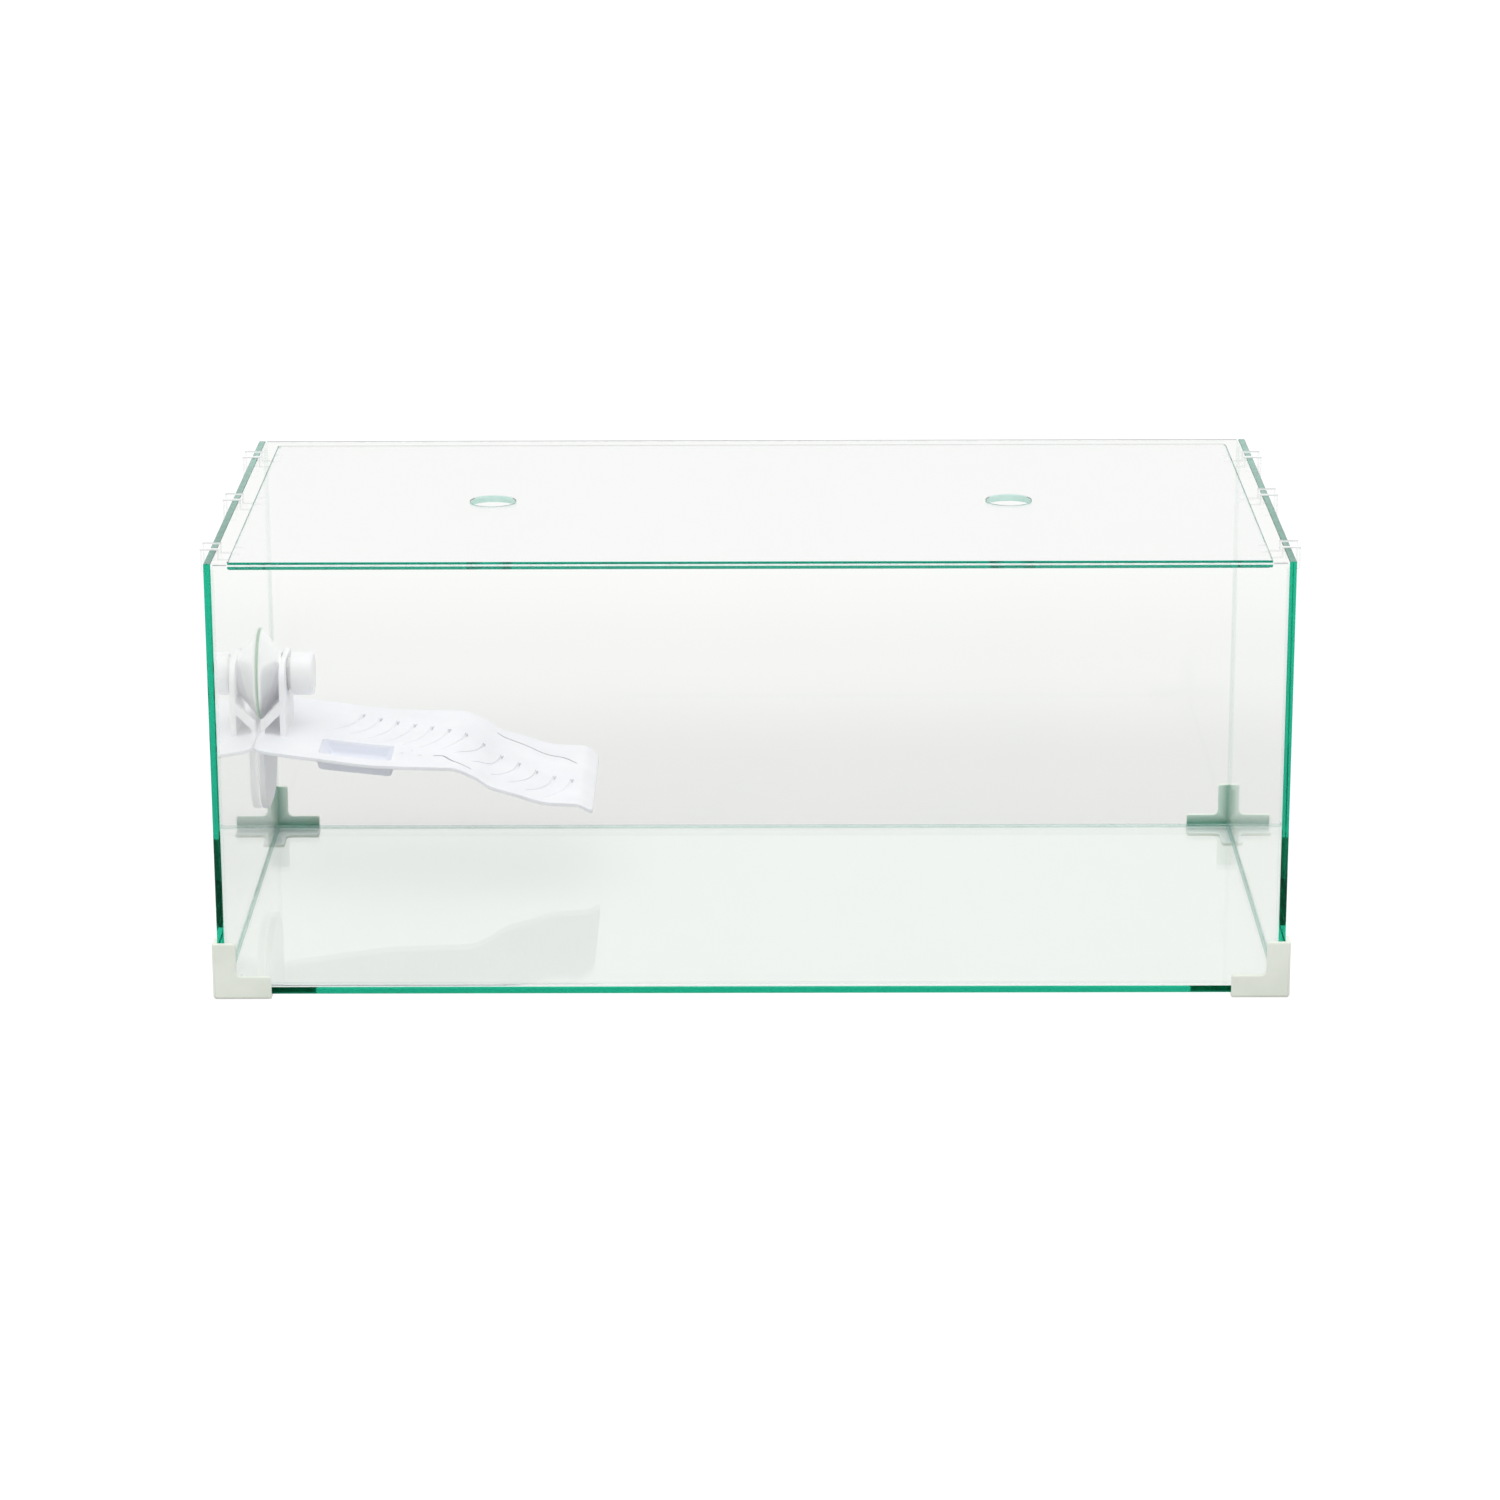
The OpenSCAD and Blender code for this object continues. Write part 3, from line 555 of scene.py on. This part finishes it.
# Food trough. Loops of its tub: outside the pull from the wall, height over the lowest loop and corner
# radius, inside the growth over the opening and the height over the lowest loop
TROUGH_X, TROUGH_LEN, TROUGH_Y, TROUGH_W = 38.0, 43.0, 33.5, 30.0
TROUGH_DEPTH, TROUGH_WALL, TROUGH_SLOPE, TROUGH_R = 8.0, 2.0, 4.5, 2.5
TUB_R, TUB_SUNK, TUB_TURN, TUB_STEEP, TUB_GAP = 3.5, 0.6, 2.4, 0.35, 0.12
TUB_OUTSIDE = ((0.0, 1.2, 3.5), (0.4, 0.35, 3.2), (1.2, 0.0, 2.8))
TUB_INSIDE = ((TUB_GAP, 1.0), (-0.3, 0.3), (-1.0, 0.0))

# Upright plate, struts and tongue. FLUSH keeps faces from lying on each other
MID_Y, STUD_Z, STUD_HOLE, STUD_HOLE_SIDES = 82.0, 125.0, 4.06, 48
PLATE_X, PLATE_T, PLATE_W, PLATE_TOP, PLATE_R, PLATE_ROOT = 13.0, 3.5, 51.0, 137.0, 12.0, 2.0
STRUT_X, STRUT_UP, STRUT_T, STRUT_FOOT, STRUT_W, STRUT_BITE = 1.5, 18.4, 7.5, 2.5, 4.0, 1.0
STRUT_INNER_R, STRUT_OUTER_R, FLUSH = 0.6, 0.8, 0.05
TONGUE_T, TONGUE_W, TONGUE_LEN, TONGUE_R = 4.0, 70.0, 51.0, 25.0

# Platform's finish: roughness, scale and strength of its skin, share of light spread inside, sharp edges
DECK_ROUGH, GROOVE_ROUGH, DECK_SKIN, DECK_GLOW, FRAME_GLOW = 0.36, 0.45, (700.0, 0.05), 0.35, 0.5
SHARP_ANGLE = math.radians(38)


def wave_share(share):
    """Share of the deck's fall at a share of its length: a smooth curve through the points of WAVE."""
    last = len(WAVE) - 1
    rise = [(WAVE[i + 1][1] - WAVE[i][1]) / (WAVE[i + 1][0] - WAVE[i][0]) for i in range(last)]
    lean = [rise[0]] + [2 * a * b / (a + b) for a, b in zip(rise, rise[1:])] + [rise[-1]]
    i = max(k for k in range(last) if k == 0 or WAVE[k][0] <= share)
    span = WAVE[i + 1][0] - WAVE[i][0]
    u = (share - WAVE[i][0]) / span
    return ((1 + 2 * u) * (1 - u) ** 2 * WAVE[i][1] + u * u * (3 - 2 * u) * WAVE[i + 1][1]
            + span * (u * (1 - u) ** 2 * lean[i] + u * u * (u - 1) * lean[i + 1]))


def deck_top(x):
    """Height of the deck's top at a distance from the wall."""
    share = min(1.0, max(0.0, (x - DECK_X0) / DECK_LEN))
    return DECK_Z - DECK_FALL * wave_share(share)


def soft_outline(corners, steps=8):
    """Closed outline through corners (x, y, radius), each rounded by its radius."""
    points = []
    count = len(corners)
    for i, (x, y, radius) in enumerate(corners):
        here = Vector((x, y))
        into = (here - Vector(corners[i - 1][:2])).normalized()
        away = (Vector(corners[(i + 1) % count][:2]) - here).normalized()
        turn = math.atan2(into.x * away.y - into.y * away.x, into.dot(away))
        if radius <= 0:
            points.append((x, y))
            continue
        start = here - into * (radius * math.tan(abs(turn) / 2))
        side = math.copysign(1.0, turn)
        centre = start + Vector((-into.y, into.x)) * radius * side
        spoke = start - centre
        for k in range(steps + 1):
            a = turn * k / steps
            points.append((centre.x + spoke.x * math.cos(a) - spoke.y * math.sin(a),
                           centre.y + spoke.x * math.sin(a) + spoke.y * math.cos(a)))
    return points


def inset(points, distance):
    """Outline moved to its left side by a distance."""
    moved = []
    count = len(points)
    for i, (x, y) in enumerate(points):
        before, after = Vector(points[i - 1]), Vector(points[(i + 1) % count])
        here = Vector((x, y))
        a, b = (here - before).normalized(), (after - here).normalized()
        normal = Vector((-a.y - b.y, a.x + b.x))
        normal /= max(1e-9, normal.length_squared / 2)
        moved.append((x + normal.x * distance, y + normal.y * distance))
    return moved


def slab(outline, holes, thickness, edge, segments=3):
    """Closed plate between z = 0 and z = -thickness with softened edges. All outlines run anticlockwise."""
    bm = bmesh.new()
    tops, bottoms = [], []
    for points in [outline] + [list(reversed(h)) for h in holes]:
        rings = []
        for k in range(segments + 1):
            a = math.pi / 2 * k / segments
            rings.append((edge * (1 - math.sin(a)), -edge * (1 - math.cos(a))))
        rings += [(d, -thickness - z) for d, z in reversed(rings)]
        loops = [[bm.verts.new((x, y, z)) for x, y in inset(points, d)] for d, z in rings]
        for upper, lower in zip(loops, loops[1:]):
            for i in range(len(points)):
                j = (i + 1) % len(points)
                bm.faces.new((upper[i], lower[i], lower[j], upper[j]))
        tops.append(loops[0])
        bottoms.append(loops[-1])
    for level in (tops, bottoms):
        edges = []
        for loop in level:
            edges += [bm.edges.get((loop[i - 1], loop[i])) for i in range(len(loop))]
        bmesh.ops.triangle_fill(bm, use_beauty=True, use_dissolve=False, edges=edges)
    bmesh.ops.recalc_face_normals(bm, faces=bm.faces[:])
    return bm


def as_object(bm, name, material=None):
    """Object of a mesh in platform millimetres, placed in the tank in metres."""
    bm.transform(Matrix.Scale(MM, 4) @ Matrix.Translation((WALL_X, 0, 0)))
    mesh = bpy.data.meshes.new(name)
    bm.to_mesh(mesh)
    bm.free()
    if material:
        mesh.materials.append(material)
    obj = bpy.data.objects.new(name, mesh)
    SCENE.collection.objects.link(obj)
    return obj


def slot_spot(i, share):
    """Point of a drain slot's line from its near end, share 0, to its far end, share 1."""
    a = math.radians(-SLOT_TURN * (1 - share))
    return (SLOT_X + i * SLOT_PITCH - SLOT_R * (1 - math.cos(a)),
            DECK_Y1 - SLOT_Y - i * SLOT_STEP + SLOT_R * math.sin(a))


def drain_outline(i):
    """Long drain hole at a slot's far end, anticlockwise: half a circle round each of its two ends."""
    far, near = Vector(slot_spot(i, 1.0)), Vector(slot_spot(i, DRAIN_FROM))
    ahead = (far - near).normalized()
    aside = Vector((ahead.y, -ahead.x))
    half = [math.pi * k / DRAIN_STEPS for k in range(DRAIN_STEPS + 1)]
    ring = [far + (aside * math.cos(a) + ahead * math.sin(a)) * DRAIN_R for a in half]
    ring += [near - (aside * math.cos(a) + ahead * math.sin(a)) * DRAIN_R for a in half]
    return [tuple(p) for p in ring]


def deck_sheet():
    """The wavy sheet with its slots and the trough's opening."""
    x1 = DECK_X0 + DECK_LEN
    outline = soft_outline(((DECK_X0, DECK_Y0, DECK_WALL_R), (x1, DECK_Y0, DECK_END_R),
                            (x1, DECK_Y1, DECK_END_R), (DECK_X0, DECK_Y1, DECK_WALL_R)), steps=12)
    opening = soft_outline(tuple((x, y, TROUGH_R) for x, y in (
        (TROUGH_X, TROUGH_Y), (TROUGH_X + TROUGH_LEN, TROUGH_Y),
        (TROUGH_X + TROUGH_LEN, TROUGH_Y + TROUGH_W), (TROUGH_X, TROUGH_Y + TROUGH_W))))
    bm = slab(outline, [opening] + [drain_outline(i) for i in range(SLOTS)], DECK_T, DECK_EDGE)
    for k in range(1, SHEET_CUTS):
        parts = bm.verts[:] + bm.edges[:] + bm.faces[:]
        x = DECK_X0 + DECK_LEN * k / SHEET_CUTS
        bmesh.ops.bisect_plane(bm, geom=parts, dist=CUT_SNAP, plane_co=(x, 0, 0), plane_no=(1, 0, 0))
    bmesh.ops.remove_doubles(bm, verts=bm.verts[:], dist=SHEET_MERGE)
    for vert in bm.verts:
        vert.co.z += deck_top(vert.co.x)
    return bm


def turned(bm, columns, move):
    """Turns a slab so that its axes follow the given columns, then moves it."""
    bm.transform(Matrix.Translation(move) @ Matrix(columns).transposed().to_4x4())
    bmesh.ops.recalc_face_normals(bm, faces=bm.faces[:])
    return bm


ALONG_X = ((0, 1, 0), (0, 0, 1), (1, 0, 0))
ALONG_Y = ((1, 0, 0), (0, 0, 1), (0, -1, 0))


def upright():
    """Upright plate with soft upper corners and the stud's hole."""
    left, right = MID_Y - PLATE_W / 2, MID_Y + PLATE_W / 2
    root = DECK_Z - DECK_T - PLATE_ROOT
    outline = soft_outline(((left, root, 0), (right, root, 0),
                            (right, PLATE_TOP, PLATE_R), (left, PLATE_TOP, PLATE_R)), steps=14)
    turns = [math.tau * k / STUD_HOLE_SIDES for k in range(STUD_HOLE_SIDES)]
    hole = [(MID_Y + STUD_HOLE * math.cos(a), STUD_Z + STUD_HOLE * math.sin(a)) for a in turns]
    return turned(slab(outline, [hole], PLATE_T, PLATE_EDGE), ALONG_X, (PLATE_X + PLATE_T, 0, 0))


def strut(y):
    """Strut from the deck to the upright plate beside the cup, with a foot on the deck."""
    def high(x):
        return DECK_Z + STRUT_UP - PLATE_X + x
    end, foot = PLATE_X + STRUT_BITE, STRUT_X + STRUT_FOOT
    low = DECK_Z - DECK_T
    outline = soft_outline(((STRUT_X, low, 0), (foot, low, 0), (foot, high(foot) - STRUT_T, STRUT_INNER_R),
                            (end, high(end) - STRUT_T, 0), (end, high(end), 0),
                            (STRUT_X, high(STRUT_X), STRUT_OUTER_R)))
    return turned(slab(outline, [], STRUT_W, STRUT_EDGE), ALONG_Y, (0, y, 0))


def near_strut():
    """Strut at the plate's front side."""
    return strut(MID_Y - PLATE_W / 2 + FLUSH)


def far_strut():
    """Strut at the plate's back side."""
    return strut(MID_Y + PLATE_W / 2 - STRUT_W - FLUSH)


def tongue():
    """Tongue that rests on the wall below the deck."""
    half, low, high = TONGUE_W / 2, DECK_Z - TONGUE_LEN, DECK_Z - DECK_T / 2
    outline = soft_outline(((MID_Y - half, low, TONGUE_R), (MID_Y + half, low, TONGUE_R),
                            (MID_Y + half, high, 0), (MID_Y - half, high, 0)), steps=16)
    return turned(slab(outline, [], TONGUE_T, TONGUE_EDGE), ALONG_X, (DECK_X0 + FLUSH + TONGUE_T, 0, 0))


def tub():
    """Open tub of the food trough: wall loops from the inside rim over the floor to the outside rim."""
    x0, x1 = TROUGH_X, TROUGH_X + TROUGH_LEN
    y0, y1 = TROUGH_Y, TROUGH_Y + TROUGH_W
    left, right = deck_top(x0), deck_top(x1)
    bm = bmesh.new()

    def loop(grow, lean, down, radius):
        corners = ((x0 - grow + lean, y0 - grow, radius), (x1 + grow - lean, y0 - grow, radius),
                   (x1 + grow - lean, y1 + grow, radius), (x0 - grow + lean, y1 + grow, radius))
        verts = []
        for x, y in soft_outline(corners):
            level = left + (right - left) * (x - x0) / (x1 - x0)
            verts.append(bm.verts.new((x, y, (deck_top(x) if down <= DECK_T else level) - down)))
        return verts

    def lean_at(down):
        return TROUGH_SLOPE * down / TROUGH_DEPTH

    depth, wall, sunk = TROUGH_DEPTH, TROUGH_WALL, DECK_T * TUB_SUNK
    steep = lean_at(depth) * TUB_STEEP
    outside = [loop(wall, 0, sunk, TUB_R), loop(wall, 0, TUB_TURN, TUB_R)]
    outside += [loop(wall - pull, steep, depth + wall - up, radius) for pull, up, radius in TUB_OUTSIDE]
    inside = [loop(TUB_GAP, 0, sunk, TROUGH_R), loop(TUB_GAP, lean_at(TUB_TURN), TUB_TURN, TROUGH_R)]
    inside += [loop(grow, lean_at(depth), depth - up, TROUGH_R) for grow, up in TUB_INSIDE]
    for chain in (outside, inside):
        for upper, lower in zip(chain, chain[1:]):
            for i in range(len(upper)):
                j = (i + 1) % len(upper)
                bm.faces.new((upper[i], upper[j], lower[j], lower[i]))
        bm.faces.new(chain[-1])
    for i in range(len(outside[0])):
        j = (i + 1) % len(outside[0])
        bm.faces.new((outside[0][i], outside[0][j], inside[0][j], inside[0][i]))
    bmesh.ops.recalc_face_normals(bm, faces=bm.faces[:])
    return bm


def smooth_line(points, parts=8, rounds=6):
    """Finer points along a line, with its corners eased."""
    fine = []
    for a, b in zip(points, points[1:]):
        fine += [(a[0] + (b[0] - a[0]) * k / parts, a[1] + (b[1] - a[1]) * k / parts) for k in range(parts)]
    fine.append(points[-1])
    for _ in range(rounds):
        fine = [fine[0]] + [((p[0] + 2 * q[0] + r[0]) / 4, (p[1] + 2 * q[1] + r[1]) / 4)
                            for p, q, r in zip(fine, fine[1:], fine[2:])] + [fine[-1]]
    return fine


def groove_tool(spots, half, depth):
    """Bar that cuts a groove into the deck along spots (x, y). Its half width and its depth are functions of
    the share along it."""
    last = len(spots) - 1
    path = [Vector((x, y, deck_top(x))) for x, y in spots]
    bm = bmesh.new()
    rings = []
    for i, here in enumerate(path):
        ahead = (path[min(i + 1, last)] - path[max(i - 1, 0)]).normalized()
        across = ahead.cross(Vector((0, 0, 1))).normalized()
        up = across.cross(ahead)
        wide, deep = half(i / last), depth(i / last)
        rings.append([bm.verts.new(here + across * math.cos(t) * wide + up * math.sin(t) * deep)
                      for t in (math.tau * k / TOOL_SIDES for k in range(TOOL_SIDES))])
    for a, b in zip(rings, rings[1:]):
        for i in range(TOOL_SIDES):
            j = (i + 1) % TOOL_SIDES
            bm.faces.new((a[i], a[j], b[j], b[i]))
    bm.faces.new(rings[0])
    bm.faces.new(rings[-1])
    bmesh.ops.recalc_face_normals(bm, faces=bm.faces[:])
    return bm


def line_tool(points):
    """Tool of a line given from the wall and the deck's back edge."""
    spots = [(x, DECK_Y1 - y) for x, y in smooth_line(points)]
    return groove_tool(spots, lambda s: LINE_HALF[0] + LINE_HALF[1] * math.sin(math.pi * s) ** LINE_FADE,
                       lambda s: LINE_DEEP[0] + LINE_DEEP[1] * math.sin(math.pi * s) ** LINE_FADE)


def slot_tool(i):
    """Tool of a drain slot, which fades out towards its near end."""
    spots = [slot_spot(i, k / SLOT_STEPS * SLOT_REACH) for k in range(SLOT_STEPS + 1)]
    return groove_tool(spots, lambda s: SLOT_HALF[0] + SLOT_HALF[1] * s,
                       lambda s: SLOT_DEEP[0] + SLOT_DEEP[1] * s)


def dimple_tool(x, y):
    """Ball that presses a dimple into the deck."""
    bm = bmesh.new()
    centre = Vector((x, DECK_Y1 - y, deck_top(x) + DIMPLE_UP))
    rows, sides = DIMPLE_ROWS, DIMPLE_SIDES

    def spot(row, side):
        polar, turn = math.pi * row / rows, math.tau * side / sides
        return centre + DIMPLE_R * Vector((math.sin(polar) * math.cos(turn), math.sin(polar) * math.sin(turn),
                                           math.cos(polar)))

    top, low = bm.verts.new(spot(0, 0)), bm.verts.new(spot(rows, 0))
    rings = [[bm.verts.new(spot(row, side)) for side in range(sides)] for row in range(1, rows)]
    for i in range(sides):
        j = (i + 1) % sides
        bm.faces.new((top, rings[0][i], rings[0][j]))
        bm.faces.new((low, rings[-1][j], rings[-1][i]))
        for a, b in zip(rings, rings[1:]):
            bm.faces.new((a[i], b[i], b[j], a[j]))
    return bm


def combine(base, tool, operation):
    """Joins a solid to the base or cuts it out of the base, and removes the tool."""
    step = base.modifiers.new("step", "BOOLEAN")
    step.operation = operation
    step.object = tool
    step.solver = "MANIFOLD"
    step.material_mode = "TRANSFER"
    bpy.context.view_layer.update()
    result = bpy.data.meshes.new_from_object(base.evaluated_get(bpy.context.evaluated_depsgraph_get()))
    base.modifiers.clear()
    base.data = result
    bpy.data.objects.remove(tool)


def clean(mesh):
    """Merges points that lie on each other and removes faces without area."""
    bm = bmesh.new()
    bm.from_mesh(mesh)
    bmesh.ops.remove_doubles(bm, verts=bm.verts[:], dist=TINY)
    bmesh.ops.dissolve_degenerate(bm, edges=bm.edges[:], dist=TINY)
    bm.to_mesh(mesh)
    bm.free()


def make_platform():
    """The moulded basking platform, which stands for its CAD node."""
    white = moulded("deck_plastic_white", mottle(*DECK_WHITE), DECK_ROUGH, *DECK_SKIN, subsurface=DECK_GLOW)
    # Painted shade: the grooves' faces take a grey plastic
    grey = moulded("deck_plastic_groove_shade", mottle(*GROOVE_PAINTED_SHADE), GROOVE_ROUGH, *DECK_SKIN)
    lilac = moulded("deck_plastic_trough", mottle(*TROUGH_LILAC), DECK_ROUGH, *DECK_SKIN)
    # Painted light: the upright plate, struts and tongue take a lighter copy of the deck's white
    painted_bright = moulded("deck_plastic_frame", mottle(*FRAME_PAINTED_BRIGHT), DECK_ROUGH, *DECK_SKIN,
                     subsurface=FRAME_GLOW)
    piece = as_object(deck_sheet(), "basking_platform", white)
    for tool in (line_tool(BACK_LINE), line_tool(FRONT_LINE)):
        combine(piece, as_object(tool, "tool", grey), "DIFFERENCE")
    for tool in [dimple_tool(x, y) for x, y in DIMPLES] + [slot_tool(i) for i in range(SLOTS)]:
        combine(piece, as_object(tool, "tool", white), "DIFFERENCE")
    combine(piece, as_object(tub(), "tool", lilac), "UNION")
    for solid in (upright, near_strut, far_strut, tongue):
        combine(piece, as_object(solid(), "tool", painted_bright), "UNION")
    mesh = piece.data
    clean(mesh)
    mesh.polygons.foreach_set("use_smooth", [True] * len(mesh.polygons))
    mesh.set_sharp_from_angle(angle=SHARP_ANGLE)
    smooth = piece.modifiers.new("smooth", "WEIGHTED_NORMAL")
    smooth.keep_sharp = True
    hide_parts("basking_deck")
    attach(piece, "platform")


def shown(tree):
    """Two masks: 1 for the rays that carry the picture, which are camera, mirror and glass rays, and 1 for
    camera rays alone."""
    path = add(tree, "ShaderNodeLightPath")
    seen = calc(tree, "MAXIMUM", path.outputs["Is Camera Ray"], path.outputs["Is Glossy Ray"])
    return calc(tree, "MAXIMUM", seen, path.outputs["Is Transmission Ray"]), path.outputs["Is Camera Ray"]


def painted_floor_shade(tree):
    """Painted shade of the floor behind glass, darker beside the tank's foot than further away, and tinted
    green under it.
    """
    place = add(tree, "ShaderNodeNewGeometry")
    split = add(tree, "ShaderNodeSeparateXYZ")
    tree.links.new(place.outputs["Position"], split.inputs[0])
    x = calc(tree, "SUBTRACT", calc(tree, "ABSOLUTE", split.outputs[0]), FOOT_X)
    y = calc(tree, "SUBTRACT", calc(tree, "ABSOLUTE", split.outputs[1]), FOOT_Y)
    reach = PAINTED_FLOOR_LEVELS[-1][0]
    share = calc(tree, "DIVIDE", calc(tree, "MAXIMUM", x, y), reach)
    ramp = add(tree, "ShaderNodeValToRGB")
    ramp.color_ramp.interpolation = "EASE"
    stops = ramp.color_ramp.elements
    while len(stops) < len(PAINTED_FLOOR_LEVELS):
        stops.new(1.0)
    for stop, (distance, level) in zip(stops, PAINTED_FLOOR_LEVELS):
        stop.position = distance / reach
        red, blue = PAINTED_FLOOR_TINT if distance < TINT_REACH else FLOOR_PLAIN
        stop.color = (level * red, level, level * blue, 1)
    tree.links.new(share, ramp.inputs["Fac"])
    return ramp.outputs["Color"]


def make_floor():
    """Pale floor that is white in the picture and keeps a soft shadow, and behind glass shows painted shade
    by the tank's foot.
    """
    half = FLOOR_HALF
    mesh = bpy.data.meshes.new("floor")
    corners = [(-half, -half, 0), (half, -half, 0), (half, half, 0), (-half, half, 0)]
    mesh.from_pydata(corners, [], [(0, 1, 2, 3)])
    floor = bpy.data.objects.new("floor", mesh)
    SCENE.collection.objects.link(floor)
    material, tree, output = new_material("floor_white")
    plain = add(tree, "ShaderNodeBsdfDiffuse", Color=(FLOOR_ALBEDO,) * 3 + (1,))
    dim = add(tree, "ShaderNodeBsdfDiffuse", Color=(FLOOR_DIM,) * 3 + (1,))
    glow = add(tree, "ShaderNodeEmission", Strength=FLOOR_GLOW)
    behind = add(tree, "ShaderNodeEmission", Strength=1.0 - BEHIND_SHADE)
    shaded = add(tree, "ShaderNodeBsdfDiffuse")
    # Painted shade round the tank's foot, for what the glass shows
    levels = painted_floor_shade(tree)
    tree.links.new(levels, behind.inputs["Color"])
    tree.links.new(mix_colour(tree, BEHIND_SHADE, (0.0, 0.0, 0.0), levels), shaded.inputs["Color"])
    seen, camera = shown(tree)
    picture = mix_shader(tree, camera, add_shaders(tree, behind, shaded), add_shaders(tree, dim, glow))
    tree.links.new(mix_shader(tree, seen, plain.outputs[0], picture), output.inputs["Surface"])
    mesh.materials.append(material)


def make_world():
    """Soft light from all round, stronger from above than from the front, and white to look at."""
    world = bpy.data.worlds.new("studio")
    SCENE.world = world
    world.use_nodes = True
    tree = world.node_tree
    tree.nodes.clear()
    output = tree.nodes.new("ShaderNodeOutputWorld")
    height = axes(tree, "Generated")[2]
    lift = add(tree, "ShaderNodeMapRange")
    lift.inputs["From Max"].default_value = SKY_RISE
    lift.inputs["To Min"].default_value = SKY_FRONT
    lift.inputs["To Max"].default_value = SKY_TOP
    tree.links.new(height, lift.inputs["Value"])
    light = add(tree, "ShaderNodeBackground", Color=(1, 1, 1, 1))
    tree.links.new(lift.outputs[0], light.inputs["Strength"])
    white = add(tree, "ShaderNodeBackground", Color=(1, 1, 1, 1), Strength=1.0)
    seen, _ = shown(tree)
    tree.links.new(mix_shader(tree, seen, light.outputs[0], white.outputs[0]), output.inputs["Surface"])


def make_lamp():
    """One wide soft box above the tank."""
    lamp = bpy.data.lights.new("soft_box", "AREA")
    lamp.shape = "RECTANGLE"
    lamp.size, lamp.size_y = LAMP_SIZE
    lamp.energy = LAMP_WATT
    box = bpy.data.objects.new("soft_box", lamp)
    box.location = LAMP_AT
    box.rotation_euler = (LAMP_LEAN, 0, 0)
    SCENE.collection.objects.link(box)


def make_camera():
    """Camera at the photograph's place, with the picture's centre on its axis."""
    forward = Vector((math.sin(YAW) * math.cos(PITCH), math.cos(YAW) * math.cos(PITCH), -math.sin(PITCH)))
    level_right = Vector((math.cos(YAW), -math.sin(YAW), 0))
    level_up = level_right.cross(forward)
    right = math.cos(ROLL) * level_right + math.sin(ROLL) * level_up
    up = right.cross(forward)
    data = bpy.data.cameras.new("camera")
    data.sensor_width = SENSOR_MM
    data.lens = FOCAL_PX / PHOTO_PX * SENSOR_MM
    data.clip_start, data.clip_end = SEEN_FROM, SEEN_TO
    camera = bpy.data.objects.new("camera", data)
    turn = Matrix((right, up, -forward)).transposed()
    camera.matrix_world = Matrix.Translation(CAMERA_AT) @ turn.to_4x4()
    SCENE.collection.objects.link(camera)
    SCENE.camera = camera


def set_look():
    """Plain colours, and enough bounces for light that runs along inside the panels."""
    SCENE.view_settings.view_transform = "Standard"
    SCENE.cycles.max_bounces = LIGHT_BOUNCES
    SCENE.cycles.glossy_bounces = LIGHT_BOUNCES
    SCENE.cycles.transmission_bounces = LIGHT_BOUNCES
    SCENE.cycles.transparent_max_bounces = CLEAR_BOUNCES


dress_glass()
dress_fittings()
make_platform()
make_floor()
make_world()
make_lamp()
make_camera()
set_look()
